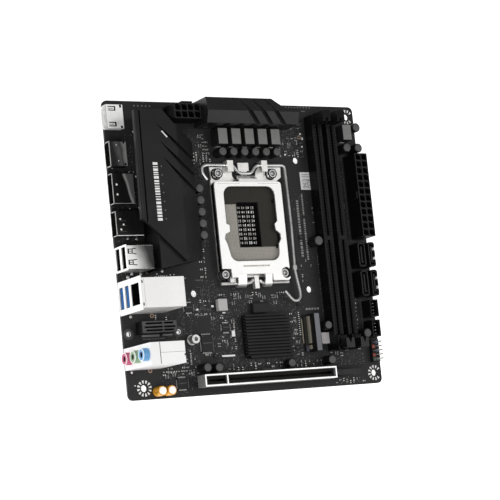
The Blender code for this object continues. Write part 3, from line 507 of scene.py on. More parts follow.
def mounting_holes():
    """Lands under the board, and petals on it except at the hole by the heatsink."""
    lands = Group("mounting_hole_lands", "tin")
    petals = Group("mounting_hole_petals", "mark_white")
    for x, y in MOUNT_HOLES:
        lands.ring((x, y), 2.35, 3.85, -1.79, -1.752)
        if x < 40 < y:
            continue
        for k in range(12):
            angle = math.tau * (k + 0.3) / 12
            ray = Vector((math.cos(angle), math.sin(angle)))
            side = Vector((-ray.y, ray.x))
            corners = [Vector((x, y)) + ray * reach + side * half
                       for reach, half in ((2.7, -0.22), (4.5, -0.66), (4.5, 0.66), (2.7, 0.22))]
            if all(0.7 < c.x < BOARD_MM - 0.7 and 0.7 < c.y < BOARD_MM - 0.7 for c in corners):
                petals.plate(corners, 0.155, 0.19)
    lands.done("plated_steel")
    petals.done()


def antenna_lands():
    copper = Group("antenna_lands", "trim_grey")
    shine = Group("antenna_eyelets", "tin")
    for x, y in ((3.5, 36.9), (34.8, 37.0)):
        copper.ring((x, y), 1.5, 3.1, 0.01, 0.04)
        shine.ring((x, y), 1.05, 1.5, 0.01, 0.09)
    copper.done("plated_steel")
    shine.done("plated_steel")


def board_print():
    print_marks = Group("board_print", "silkscreen")
    dashes(print_marks, 122.4, 78.0, 34.0, 1.5, 4, upright=True)
    dashes(print_marks, 126.2, 76.0, 25.0, 1.2, 5, upright=True)
    dashes(print_marks, 126.4, 103.0, 13.0, 1.0, 6, upright=True)
    dashes(print_marks, 133.0, 166.6, 2.6, 0.5, 7)
    for k in range(5):
        print_marks.disc(20.2 + 2.5 * k, 167.5, 0.42, 0.01, 0.05, 10)
        print_marks.box((121.2 + 2.0 * k, 46.0, 0.01), (122.6 + 2.0 * k, 47.2, 0.05))
    for k in range(10):
        print_marks.box((119.6 + 2.1 * k, 168.8, 0.01), (120.6 + 2.1 * k, 169.3, 0.05))
    for x, y in ((132.8, 107.1), (132.6, 98.3), (133.4, 77.7), (133.2, 73.0), (133.0, 104.2)):
        print_marks.box((x, y, 0.01), (x + 1.7, y + 0.4, 0.05))
    print_marks.done()


def pale_parts():
    pale = Group("pale_parts", "mark_white")
    pale.box((61.4, 21.2, 0.01), (69.9, 22.2, 0.5))
    pale.box((69.2, 32.6, 0.01), (71.2, 36.0, 0.7))
    for x, y, w, h in ((64.4, 46.2, 1.8, 0.7), (60.9, 48.4, 0.7, 2.4), (57.6, 50.0, 1.3, 1.2),
                       (129.8, 152.2, 0.9, 0.9), (131.0, 149.0, 0.8, 1.5), (130.2, 144.4, 0.8, 0.8),
                       (117.5, 139.3, 0.9, 0.9), (12.4, 128.6, 1.0, 0.5), (47.6, 48.6, 1.2, 0.9)):
        pale.box((x, y, 0.01), (x + w, y + h, 0.5))
    pale.done("can")


def board_outlines():
    outline = Group("board_print_outlines", "silkscreen_dim")
    dashes(outline, 57.0, 12.2, 8.0, 0.6, 10)
    dashes(outline, 88.0, 12.4, 11.0, 0.6, 11)
    dashes(outline, 46.0, 45.4, 8.0, 0.7, 14)
    dashes(outline, 49.0, 65.6, 5.0, 0.7, 15)
    dashes(outline, 12.0, 33.4, 14.0, 0.7, 16)
    for x0, y0, x1, y1 in ((158.2, 86.2, 169.3, 139.6), (160.4, 26.4, 168.2, 50.6),
                           (111.6, 26, 115.6, 30), (111.6, 34, 115.6, 38),
                           (47.2, 48.8, 52.0, 62.0), (52.8, 48.8, 57.0, 60.0)):
        outline.frame((x0, y0, 0.01), (x1, y1, 0.03), 0.15)
    outline.done()


def board_solder():
    solder = Group("through_hole_solder", "tin", smooth=True)
    specks(solder, ((8.65, 90.8, 0.8), (14.2, 90.5, 0.9), (9.0, 70.6, 0.9), (14.6, 70.5, 0.9),
                    (6.4, 68.7, 1.15), (24.4, 72.9, 0.8), (28.2, 71.8, 0.9), (24.6, 70.3, 0.6),
                    (14.5, 126.7, 0.5), (17.4, 126.3, 0.7), (17.5, 108.3, 0.6), (24.5, 88.5, 0.8),
                    (24.7, 85.0, 0.6), (24.4, 82.3, 0.8), (18.2, 152.4, 0.6), (9.1, 71.2, 0.6),
                    (5.9, 46.6, 0.9), (3.4, 15.6, 0.8), (4.7, 8.2, 0.5), (2.8, 131.2, 0.6),
                    (11.6, 108.0, 0.5), (13.8, 129.4, 0.4), (16.0, 129.0, 0.5)))
    solder.done("steel")
    copper_rings = Group("coil_solder", "copper_ring")
    for x, y in ((19.1, 46.7), (14.8, 16.0), (129.4, 150.6), (18.9, 71.8)):
        copper_rings.ring((x, y), 0.7, 1.25, 0.01, 0.12)
    copper_rings.done("steel")


PART_SIZES = {"tiny": (1.0, 0.5, 0.35), "small": (1.6, 0.8, 0.5)}
END_SHARE = 0.24
END_LAP = 0.03


def component(kinds, x, y, size, body, turned):
    """A small part soldered to the board, with its two tinned ends."""
    length, width, height = PART_SIZES[size]
    dx, dy = (width / 2, length / 2) if turned else (length / 2, width / 2)
    kinds[body].block(x, y, dx, dy, 0.04, height)
    tip = length * END_SHARE
    top = height + 0.02
    for side in (-1, 1):
        if turned:
            y0, y1 = mirrored(y, side, dy, dy - tip)
            kinds["ends"].box((x - dx - END_LAP, y0 - END_LAP, 0.01), (x + dx + END_LAP, y1, top))
        else:
            x0, x1 = mirrored(x, side, dx, dx - tip)
            kinds["ends"].box((x0 - END_LAP, y - dy - END_LAP, 0.01), (x1, y + dy + END_LAP, top))


def scatter(kinds, low, high, pitch, seed, fill):
    """Rows of small parts over a free patch of the board."""
    chooser = random.Random(seed)
    columns = int((high[0] - low[0]) / pitch[0])
    rows = int((high[1] - low[1]) / pitch[1])
    for column in range(columns):
        turned = chooser.random() < 0.5
        for row in range(rows):
            if chooser.random() > fill:
                continue
            x = low[0] + (column + 0.5) * pitch[0]
            y = low[1] + (row + 0.5) * pitch[1]
            body = chooser.choice(("tan", "grey", "black", "black"))
            component(kinds, x, y, chooser.choice(tuple(PART_SIZES)), body, turned)


VIA_GRID = 0.65


def vias():
    """Plated through holes and bare test spots: flat dots sown over free patches."""
    dots = Group("vias", "via_grey")
    chooser = random.Random(5)
    patches = (
        (18.0, 74.0, 24.0, 96.0, 60), (50.5, 84.0, 60.5, 150.0, 330), (33.0, 148.0, 56.0, 156.0, 90),
        (26.0, 14.0, 47.0, 60.0, 420), (48.0, 44.0, 62.0, 66.0, 170), (56.0, 13.0, 76.0, 46.0, 420),
        (76.0, 12.6, 131.0, 19.0, 330), (107.5, 19.0, 117.0, 46.0, 240), (62.0, 46.0, 82.0, 61.0, 150),
        (112.0, 138.0, 132.0, 160.0, 420), (119.0, 62.0, 131.0, 116.0, 50),
        (151.0, 30.0, 158.5, 140.0, 330), (132.0, 12.0, 160.0, 19.0, 110),
        (20.0, 1.2, 44.0, 15.0, 120), (10.2, 104.0, 17.0, 152.0, 90), (94.0, 46.0, 120.0, 56.0, 90),
        (133.0, 30.0, 133.4, 84.0, 40), (139.0, 1.2, 158.0, 5.0, 40), (17.0, 84.0, 24.5, 92.0, 40),
        (0.8, 84.9, 16.0, 91.0, 50), (0.8, 126.9, 16.0, 130.5, 40), (0.8, 105.6, 16.0, 109.3, 40),
        (0.8, 65.5, 24.0, 71.0, 60))
    for x0, y0, x1, y1, count in patches:
        for _ in range(count):
            x = round(chooser.uniform(x0, x1) / VIA_GRID) * VIA_GRID
            y = round(chooser.uniform(y0, y1) / VIA_GRID) * VIA_GRID
            half = chooser.choice((0.12, 0.16, 0.22))
            dots.block(x, y, half, half, 0.008, 0.03)
    dots.done("steel")


CROWDING = 1.6
FULLEST = 0.75


def small_parts():
    kinds = {"tan": Group("ceramic_capacitors", "ceramic_tan"),
             "grey": Group("ceramic_chips", "ceramic_grey"),
             "black": Group("resistors", "resistor"),
             "ends": Group("soldered_ends", "tin")}
    patches = (
        ((52.0, 60.0), (58.0, 86.0), (2.6, 2.2), 0.30), ((60.5, 56.2), (112.0, 59.4), (2.4, 1.6), 0.35),
        ((50.5, 22.0), (60.0, 24.0), (2.2, 2.0), 0.5), ((62.0, 25.0), (74.0, 46.0), (2.6, 2.2), 0.30),
        ((108.6, 19.0), (117.0, 46.0), (2.8, 2.4), 0.28), ((32.0, 15.4), (46.0, 29.0), (2.6, 2.3), 0.45),
        ((22.0, 12.2), (46.0, 15.4), (2.4, 1.6), 0.55), ((37.5, 45.0), (58.0, 56.0), (2.9, 2.5), 0.30),
        ((119.5, 62.0), (131.0, 84.0), (3.4, 3.0), 0.12),
        ((119.5, 138.0), (132.0, 153.0), (3.0, 2.6), 0.30),
        ((64.0, 13.0), (104.0, 18.0), (2.9, 2.0), 0.30), ((110.0, 12.6), (131.0, 19.0), (2.8, 2.2), 0.4),
        ((152.0, 86.0), (157.6, 138.0), (2.8, 2.7), 0.38), ((152.0, 20.0), (160.0, 50.0), (2.8, 2.5), 0.38),
        ((152.2, 52.0), (155.8, 84.0), (2.0, 2.5), 0.30), ((134.0, 1.2), (160.0, 4.4), (2.4, 1.5), 0.35),
        ((152.0, 145.5), (155.5, 166.0), (1.9, 2.3), 0.45),
        ((120.0, 155.0), (132.0, 168.0), (2.6, 2.3), 0.40),
        ((54.0, 133.0), (68.0, 142.0), (2.2, 2.0), 0.4), ((20.0, 44.0), (30.0, 47.2), (2.2, 1.5), 0.4),
        ((27.0, 50.0), (45.0, 69.0), (2.9, 2.6), 0.25), ((18.0, 66.5), (48.0, 70.0), (2.3, 1.6), 0.35),
        ((61.5, 139.0), (68.0, 153.0), (2.2, 2.2), 0.45),
        ((111.5, 138.0), (118.0, 152.0), (2.2, 2.2), 0.40),
        ((25.0, 13.0), (31.0, 33.0), (2.2, 2.2), 0.4),
    )
    for seed, (low, high, pitch, fill) in enumerate(patches):
        scatter(kinds, low, high, pitch, seed + 20, min(FULLEST, fill * CROWDING))
    kinds["tan"].done("can")
    kinds["grey"].done("can")
    kinds["black"].done("black_plastic")
    kinds["ends"].done("steel")


LEG_PITCH = 0.5


def chips():
    bodies = Group("chips", "chip", bevel=0.12)
    legs = Group("chip_legs", "tin")
    marks = Group("chip_marks", "silkscreen_dim")
    packages = ((48.6, 24.4, 55.8, 34.4, 1.4, True), (31.0, 4.4, 37.4, 10.8, 1.2, True),
                (56.0, 20.8, 58.4, 23.0, 0.9, False), (115.4, 48.6, 119.4, 52.6, 0.9, False),
                (152.6, 60.4, 155.4, 63.6, 0.9, False), (63.0, 35.4, 68.0, 40.4, 1.0, True),
                (40.0, 47.6, 45.4, 53.0, 1.1, True), (111.4, 22.6, 114.2, 25.4, 0.8, False),
                (121.6, 88.0, 124.4, 90.8, 0.8, False), (153.0, 106.0, 156.0, 110.0, 0.9, True))
    packages += tuple((55.0, y, 57.9, y + 4.6, 0.75, False) for y in (95.0, 101.2, 107.4, 113.6))
    for number, (x0, y0, x1, y1, height, pins) in enumerate(packages):
        bodies.box((x0, y0, 0.08), (x1, y1, height))
        marks.disc(x0 + 0.8, y1 - 0.8, 0.22, height, height + 0.01, 10)
        dashes(marks, x0 + 0.8, (y0 + y1) / 2, (x1 - x0) - 1.6, 0.4, number, z=height - 0.008)
        if pins:
            for k in range(int((x1 - x0 - 1.0) / LEG_PITCH)):
                x = x0 + 0.75 + k * LEG_PITCH
                legs.box((x - 0.11, y0 - 0.7, 0.02), (x + 0.11, y0 + 0.1, 0.3))
                legs.box((x - 0.11, y1 - 0.1, 0.02), (x + 0.11, y1 + 0.7, 0.3))
            for k in range(int((y1 - y0 - 1.0) / LEG_PITCH)):
                y = y0 + 0.75 + k * LEG_PITCH
                legs.box((x0 - 0.7, y - 0.11, 0.02), (x0 + 0.1, y + 0.11, 0.3))
                legs.box((x1 - 0.1, y - 0.11, 0.02), (x1 + 0.7, y + 0.11, 0.3))
    bodies.done("black_plastic")
    legs.done("steel")
    marks.done()


def resistor_networks():
    """Small blocks with four ends on two of their sides; one in three is turned."""
    nets = Group("resistor_networks", "ceramic_grey")
    ends = Group("resistor_network_ends", "tin")
    places = ((73.6, 55.2), (76.6, 55.2), (81.6, 55.6), (84.4, 55.0), (90.2, 55.6), (93.0, 54.6),
              (99.0, 54.9), (101.6, 54.9), (83.6, 52.2), (91.4, 51.6), (72.2, 51.8), (100.4, 51.3),
              (63.6, 44.2), (57.6, 43.6), (65.0, 30.0), (60.2, 28.2), (70.6, 41.4), (24.8, 12.0),
              (41.4, 12.8), (29.4, 13.0), (45.6, 10.2), (112.6, 41.0), (112.0, 33.0), (113.4, 27.4),
              (135.6, 20.6), (139.4, 19.4), (147.0, 21.6), (143.0, 18.6), (60.2, 144.6), (60.4, 150.2),
              (118.6, 141.0), (121.4, 146.2), (125.4, 140.6), (126.4, 149.4), (116.4, 146.6))
    for number, (x, y) in enumerate(places):
        upright = number % 3 > 0
        half_x, half_y = (0.75, 1.0) if upright else (1.0, 0.75)
        nets.block(x, y, half_x, half_y, 0.03, 0.45)
        for k in range(4):
            step = -0.95 + k * 0.52
            for side in (-0.95, 0.65):
                dx, dy = (side, step) if upright else (step, side)
                ends.box((x + dx, y + dy, 0.01), (x + dx + 0.3, y + dy + 0.3, 0.5))
    nets.done("black_plastic")
    ends.done("steel")


def inductors():
    coils = Group("flat_inductors", "can_pale", bevel=0.35)
    coils.box((60.6, 47.5, 0.1), (66.6, 54.4, 3.4))
    coils.done("ferrite")
    lump = Group("supply_inductor", "chip", bevel=0.9)
    lump.box((83.4, 45.4, 0.1), (93.6, 51.4, 3.6))
    lump.done("ferrite")


def paper_label():
    label = Group("paper_label", "label_paper")
    label.box((127.0, 118.5, 0.01), (135.4, 129.2, 0.07))
    label.done("white_plastic")
    code = Group("paper_label_pattern", "ink")
    chooser = random.Random(3)
    for column in range(11):
        for row in range(11):
            if chooser.random() < 0.5:
                x = 128.6 + column * 0.5
                y = 119.4 + row * 0.5
                code.box((x, y, 0.071), (x + 0.5, y + 0.5, 0.08))
    dashes(code, 128.4, 126.2, 5.6, 0.5, 31, z=0.062)
    dashes(code, 128.4, 127.5, 5.6, 0.5, 32, z=0.062)
    code.done()


CAN_SIDES = 28


def standing_capacitors():
    """Ten cans that are not CAD nodes, and the scored tops of these and of the CAD ones."""
    sleeves = Group("small_cans", "can_sleeve", bevel=0.2, smooth=True)
    tops = Group("can_tops", "can_top", bevel=0.12, smooth=True)
    scores = Group("can_marks", "silkscreen_dim")
    extra = [(53.4, y, 2.7, 7.8) for y in (118.1, 111.2, 104.4, 97.6, 90.9)]
    extra += [(157.6, 29.8, 2.7, 8.8), (131.3, 15.4, 2.7, 7.8), (104.8, 15.0, 2.6, 5.4),
              (47.35, 15.3, 2.6, 7.8), (54.8, 14.9, 2.6, 7.8)]
    for x, y, radius, top in extra:
        sleeves.rod((x, y, 0.1), (x, y, 1.4), radius, CAN_SIDES)
        sleeves.rod((x, y, 1.3), (x, y, 2.2), radius - 0.25, CAN_SIDES)
        sleeves.rod((x, y, 2.1), (x, y, top), radius, CAN_SIDES)
    places = list(extra)
    for number in range(1, 12):
        low, high = node_box(f"capacitor_{number}")
        places.append((*node_middle(f"capacitor_{number}"), (high.x - low.x) / 2, high.z))
    for x, y, radius, top in places:
        tops.rod((x, y, top - 0.3), (x, y, top + 0.12), radius - 0.42, CAN_SIDES)
        reach = radius - 0.7
        for half_x, half_y in ((reach, 0.07), (0.07, reach)):
            scores.block(x, y, half_x, half_y, top + 0.115, top + 0.13)
    sleeves.done("can")
    tops.done("can")
    scores.done()
    gold = Group("audio_can_tops", "can_silver", bevel=0.15, smooth=True)
    for number in (1, 2):
        x, y = node_middle(f"audio_capacitor_{number}")
        top = node_box(f"audio_capacitor_{number}")[1].z
        gold.rod((x, y, top - 0.3), (x, y, top + 0.1), 2.2, CAN_SIDES)
    gold.done("can")


def choke_details():
    tabs = Group("choke_tabs", "tin", bevel=0.05)
    # Lighter ferrite tops on chokes whose bodies carry painted shade on their sides.
    tops = Group("choke_tops", "ferrite")
    marks = Group("choke_marks", "choke_mark")
    for number in range(1, 7):
        low, high = node_box(f"choke_{number}")
        x, y = node_middle(f"choke_{number}")
        top = high.z
        tops.box((low.x + 0.35, low.y + 0.35, top - 0.05), (high.x - 0.35, high.y - 0.35, top + 0.06))
        for edge, side in ((low.y, -1), (high.y, 1)):
            y0, y1 = mirrored(edge, side, -0.2, 0.25)
            tabs.box((x - 1.6, y0, 0.05), (x + 1.6, y1, 2.4))
        for shift, seed in ((0.4, number), (-1.2, number + 9)):
            dashes(marks, low.x + 1.4, y + shift, 3.8, 0.7, seed, z=top + 0.052)
    tabs.done("steel")
    tops.done("ferrite")
    marks.done()


# ---- processor socket ----------------------------------------------------------------
def socket_details():
    low, high = node_box("socket_contacts")
    centre = node_middle("socket_contacts")
    # Painted sheen: pale patches over the lower and left part of the contact field.
    sheen_patches = Group("socket_pale_field", "socket_painted_sheen")
    sheen_patches.box((low.x + 0.2, 98.0, high.z - 0.02), (78.6, 109.2, high.z + 0.012))
    sheen_patches.box((low.x + 0.2, 85.4, high.z - 0.02), (78.6, 98.0, high.z + 0.012))
    sheen_patches.box((low.x + 0.2, low.y + 0.2, high.z - 0.02), (high.x - 0.2, 83.8, high.z + 0.013))
    sheen_patches.box((low.x + 0.2, 83.7, high.z - 0.02), (78.6, 85.5, high.z + 0.011))
    sheen_patches.done("contacts")
    pins = {True: Group("socket_pins_painted_sheen", "socket_pin"),
            False: Group("socket_pins_painted_shade", "socket_pin_painted_shade")}
    pitch = (0.94, 0.82)
    columns = int((high.x - low.x - 1.2) / pitch[0])
    rows = int((high.y - low.y - 1.2) / pitch[1])
    for column in range(columns + 1):
        for row in range(rows + 1):
            x = centre[0] + (column - columns / 2) * pitch[0]
            y = centre[1] + (row - rows / 2) * pitch[1] + (column % 2) * 0.2
            if abs(x - centre[0]) < 7.8 and abs(y - centre[1]) < 13.8:
                continue
            # Pins under the painted sheen take the pale copy; the rest take the dark copy, as painted
            # shade.
            group = pins[y < 83.8 or (x < 78.6 and y < 109.2)]
            group.block(x, y, 0.2, 0.13, high.z, high.z + 0.10)
            group.box((x - 0.15, y - 0.02, high.z + 0.09), (x + 0.15, y + 0.2, high.z + 0.3))
    for group in pins.values():
        group.done("contacts")
    posts = Group("socket_keys", "black_plastic", bevel=0.1)
    for x in (low.x + 1.2, high.x - 1.2):
        for y in (low.y + 9, high.y - 9):
            posts.block(x, y, 0.5, 1.0, high.z - 0.4, high.z + 0.75)
    posts.done("black_plastic")


def socket_window():
    """Small parts on the board inside the socket's window."""
    centre = node_middle("socket_contacts")
    bed = Group("socket_window_bed", "deep_black")
    bed.block(centre[0], centre[1], 6.95, 12.95, 0.02, 0.1)
    bed.done()
    parts = Group("socket_window_parts", "mark_white")
    duller = Group("socket_window_parts_dull", "socket_part")
    chooser = random.Random(21)
    for row in range(9):
        for column in (-4.65, -1.55, 1.55, 4.65):
            for shift in (-0.62, 0.62):
                x = centre[0] + column + shift
                y = centre[1] + (row - 4) * 2.6
                half = chooser.choice((0.55, 0.7, 0.85))
                group = parts if chooser.random() < 0.3 else duller
                group.block(x, y, 0.2, half, 0.1, 0.7)
    parts.done("can")
    duller.done("can")


def socket_screws():
    rims = Group("screw_recess_painted_shade", "deep_black")
    floors = Group("screw_recess_floors", "mark_white")
    for number in range(1, 5):
        low, high = node_box(f"frame_screw_{number}")
        x, y = node_middle(f"frame_screw_{number}")
        edge = (high.x - low.x) / 2
        # Dark rings on and round each screw head: painted shade of its recess.
        rims.ring((x, y), 0.80 * edge, 1.01 * edge, high.z - 0.3, high.z + 0.015)
        rims.ring((x, y), 1.25, 1.6, high.z + 0.005, high.z + 0.02)
        rims.ring((x, y), 2.75, 3.5, FRAME_FACE + 0.01, FRAME_FACE + 0.05)
        floors.rod((x, y, high.z - 1.45), (x, y, high.z - 1.3), 0.85, 12)
    # Painted shadow: a dark strip on the frame beside the load plate's left edge.
    rims.box((64.15, 66.0, FRAME_FACE), (66.3, 121.0, FRAME_FACE + 0.03))
    rims.done()
    floors.done("steel")


def load_plate_marks():
    etched = Group("load_plate_marks", "mark_tan", "load_plate")
    dashes(etched, 78.0, 72.0, 18.0, 0.9, 60, z=6.492)
    etched.done("plated_steel")
    # Thin dark lines near the plate's upper edge, either side of its tongue: painted shade.
    shade = Group("load_plate_edge_shade", "trim_grey", "load_plate")
    shade.box((66.0, 121.0, 6.49), (81.0, 121.12, 6.512))
    shade.box((93.0, 121.0, 6.49), (107.0, 121.12, 6.512))
    shade.done("plated_steel")


# ---- heatsinks -----------------------------------------------------------------------
def heatsink_details():
    top = node_box("vrm_heatsink_left")[1].z
    marks = Group("heatsink_bars", "mark_white")
    chooser = random.Random(12)
    y = 96.9
    while y < 128.4:
        width = chooser.choice((0.55, 0.8, 1.1, 1.5))
        marks.box((17.1, y, top + 0.01), (20.1, y + width, top + 0.04))
        y += width + chooser.choice((0.5, 0.6, 0.8))
    marks.plate([(24.3, 147.7), (27.5, 144.1), (28.1, 144.6), (24.9, 148.1)], top + 0.01, top + 0.04)
    marks.done()
    dots = Group("heatsink_dots", "silkscreen_dim")
    for k in range(7):
        dots.disc(22.35, 97.85 + 4.97 * k, 0.42, top + 0.01, top + 0.03, 12)
    dots.done()
    trim = Group("heatsink_trim", "trim_grey")
    trim.box((8.6, 98.6, top - 1.2), (8.75, 158.6, top + 0.012))
    trim.done()


# ---- connectors ----------------------------------------------------------------------
CELL_PITCH = 4.2
CELL_MIDDLE = 2.35
CELLS_24PIN_LEFT = 159.3


def power_pins():
    """Pins, corner posts and painted highlights on the cells' top edges, for both power connectors."""
    # The pins use contact metal darkened as painted shade deep in their cells.
    pins = Group("power_pins", "gold_in_painted_shade", bevel=0.08)
    rims = Group("power_collars", "satin_black", bevel=0.05)
    grid = Group("power_connector_edge_highlights", "connector_edge_highlight")
    for name, columns, rows in (("power_connector_24pin", 2, 12), ("power_connector_8pin", 4, 2)):
        low, high = node_box(name)
        x0 = CELLS_24PIN_LEFT if name == "power_connector_24pin" else low.x
        y0 = low.y
        z = high.z
        for column in range(columns):
            for row in range(rows):
                x = x0 + CELL_MIDDLE + column * CELL_PITCH
                y = y0 + CELL_MIDDLE + row * CELL_PITCH
                pins.block(x, y, 0.55, 0.55, 3.8, 8.6)
                for shift in (-1.4, 1.4):
                    rims.block(x + shift, y + shift, 0.28, 0.28, 3.9, z - 0.1)
        x1 = x0 + (columns - 1) * CELL_PITCH + 2 * CELL_MIDDLE
        y1 = y0 + (rows - 1) * CELL_PITCH + 2 * CELL_MIDDLE
        # Lighter lines along the tops of the cell walls: painted highlight.
        for column in range(columns + 1):
            x = min(x0 + 0.25 + column * CELL_PITCH, x1 - 0.2)
            grid.box((x - 0.17, y0 + 0.1, z), (x + 0.17, y1 - 0.1, z + 0.03))
        for row in range(rows + 1):
            y = min(y0 + 0.25 + row * CELL_PITCH, y1 - 0.2)
            grid.box((x0 + 0.1, y - 0.17, z + 0.005), (x1 - 0.1, y + 0.17, z + 0.035))
    pins.done("steel")
    rims.done("black_plastic")
    grid.done("black_plastic")


def slot_contacts():
    # Contacts darkened as painted shade deep in the slots.
    gold = Group("slot_contacts", "gold_in_painted_shade")
    for letter in "ab":
        x = node_middle(f"memory_slot_{letter}")[0]
        for k in range(144):
            y = 30.2 + k * 0.875
            if 85.4 < y < 90.0 or y > 155.6:
                continue
            for side in (-1, 1):
                x0, x1 = mirrored(x, side, 0.5, 0.8)
                gold.box((x0, y - 0.2, 4.4), (x1, y + 0.2, 6.6))
    y = node_middle("card_slot")[1]
    for k in range(82):
        x = 46.6 + k
        if 55.6 < x < 59.4 or x > 127.6:
            continue
        for side in (-1, 1):
            y0, y1 = mirrored(y, side, 0.55, 1.0)
            gold.box((x - 0.22, y0, 3.4), (x + 0.22, y1, 6.6))
    for k in range(33):
        y = 22.7 + k * 0.58
        if 30.3 < y < 32.2:
            continue
        gold.box((121.6, y - 0.15, 6.15), (123.4, y + 0.15, 6.4))
    gold.done("contacts")


def memory_slot_walls():
    strips = Group("memory_slot_walls", "slot_strip", bevel=0.08)
    ribs = Group("memory_slot_ribs", "black_plastic", bevel=0.06)
    teeth = Group("memory_slot_cells", "deep_black")
    for letter in "ab":
        x = node_middle(f"memory_slot_{letter}")[0]
        for side in (-1, 1):
            x0, x1 = mirrored(x, side, 1.15, 3.15)
            strips.box((x0, 29.2, 8.9), (x1, 85.9, 9.12))
            strips.box((x0, 89.4, 8.9), (x1, 155.6, 9.12))
            x0, x1 = mirrored(x, side, 3.25, 3.4)
            for k in range(11):
                ribs.box((x0, 34.0 + 11.4 * k, 0.4), (x1, 36.0 + 11.4 * k, 6.2))
        for k in range(68):
            y = 29.9 + k * 1.86
            if not 84.8 < y < 89.6:
                for side in (-1, 1):
                    x0, x1 = mirrored(x, side, 1.2, 2.0)
                    teeth.box((x0, y - 0.42, 9.1), (x1, y + 0.42, 9.13))
        strips.box((x - 3.1, 86.4, 8.9), (x + 3.1, 88.9, 9.2))
    strips.done("black_plastic")
    teeth.done("black_plastic")
    ribs.done("black_plastic")


def card_slot_rim():
    """Bright folded edge round the top of the card slot's shell."""
    low, high = node_box("card_slot_shell")
    rim = Group("card_slot_rim", "bright_shell", bevel=0.03)
    z0, z1 = high.z - 0.3, high.z + 0.05
    rim.frame((low.x - 0.02, low.y - 0.02, z0), (high.x + 0.02, high.y + 0.02, z1), 0.87)
    rim.box((57.1, low.y + 0.8, z0), (57.9, high.y - 0.8, z1))
    rim.done("plated_steel")


def socket_trims():
    """Contacts and pale top faces of the drive and radio sockets; painted shadow on the drive lip."""
    low, high = node_box("drive_socket")
    grey = Group("drive_socket_top", "m2_grey", bevel=0.08)
    grey.box((low.x + 3.75, 21.1, high.z - 0.1), (high.x - 0.02, 43.0, high.z + 0.08))
    pads = Group("drive_socket_pads", "mark_tan")
    pads.box((117.0, 26.4, 0.01), (117.7, 41.0, 0.5))
    # Painted shadow: an olive-dark strip on the socket's low lip in front of the contacts.
    dark = Group("drive_socket_lip_shadow", "olive_dark")
    dark.box((117.9, 22.4, 1.6), (119.9, 41.9, 1.75))
    tan = Group("drive_socket_contacts", "m2_tan", bevel=0.05)
    tan.box((119.95, 26.0, 1.6), (121.15, 42.0, 3.6))
    tan.box((119.95, 22.6, 1.6), (121.15, 24.9, 3.4))
    blue = Group("drive_socket_foot", "m2_violet")
    blue.box((117.9, 21.4, 1.6), (119.7, 24.6, 1.9))
    block = Group("oscillator_can", "can_pale", bevel=0.2)
    block.box((128.2, 25.3, 0.1), (133.6, 31.9, 3.4))
    low, high = node_box("radio_socket")
    top = Group("radio_socket_top", "radio_grey", bevel=0.03)
    x0, y0, x1, y1 = low.x + 0.1, low.y + 0.1, high.x - 0.1, high.y - 0.1
    bands = ((42.1, y1), (40.0, 41.1), (38.2, 39.0), (y0, 37.2))
    for below, above in bands:
        top.box((x0, below, high.z - 0.05), (x1, above, high.z + 0.05))
    for below, above, left, right in ((41.1, 42.1, 10.6, 27.8), (39.0, 40.0, 9.8, 28.9),
                                      (37.2, 38.2, 10.6, 27.8)):
        for a, b in ((x0, left), (20.9, 21.9), (right, x1)):
            top.box((a, below, high.z - 0.05), (b, above, high.z + 0.05))
    tabs = Group("radio_socket_tabs", "radio_tab")
    tabs.box((11.4, 34.9, 0.01), (22.4, 36.0, 0.6))
    tabs.box((24.4, 35.1, 0.01), (30.4, 36.0, 0.9))
    for group, slot in ((grey, "grey_plastic"), (pads, "contacts"), (dark, "contacts"),
                        (tan, "contacts"), (blue, "grey_plastic"), (block, "can"),
                        (top, "grey_plastic"), (tabs, "contacts")):
        group.done(slot)


SHELL_LIP = 0.35


def port_fades():
    """Thin covers with painted reflections: grey that changes over the tops of three shells."""
    for node, finish in (("hdmi_port_2", "hdmi_painted_reflection"), ("display_port", "display_painted_reflection")):
        low, high = node_box(node)
        fade = Group(f"{node}_face", finish)
        fade.box((low.x + 0.35, low.y + 0.3, high.z), (high.x - 0.05, high.y - 0.3, high.z + 0.02))
        fade.done("dark_port")
    low, high = node_box("usb_stack")
    fade = Group("usb_stack_reflection_cover", "usb_shell_painted_reflection")
    z = high.z - SHELL_LIP
    fade.box((low.x + 0.7, 71.5, z), (high.x - 0.05, 84.4, z + 0.02))
    fade.done("dark_port")


def usb_stack_marks(dark):
    """Springs drawn on the shell of the two-high stack."""
    z = node_box("usb_stack")[1].z - SHELL_LIP
    for y0 in (79.4, 73.2):
        dark.box((0.1, y0 + 0.5, z), (0.9, y0 + 3.3, z + 0.05))
        dark.box((0.9, y0 + 1.7, z), (2.9, y0 + 2.1, z + 0.05))
        dark.box((0.9, y0 + 2.8, z), (3.1, y0 + 3.3, z + 0.05))
        dark.box((0.9, y0 + 0.5, z), (3.1, y0 + 1.0, z + 0.05))
        dark.box((2.6, y0 + 0.5, z), (3.2, y0 + 3.3, z + 0.05))
        dark.box((3.2, y0 + 3.1, z), (5.4, y0 + 3.6, z + 0.05), 0.10)
        dark.box((3.2, y0 + 0.2, z), (5.4, y0 + 0.7, z + 0.05), -0.10)


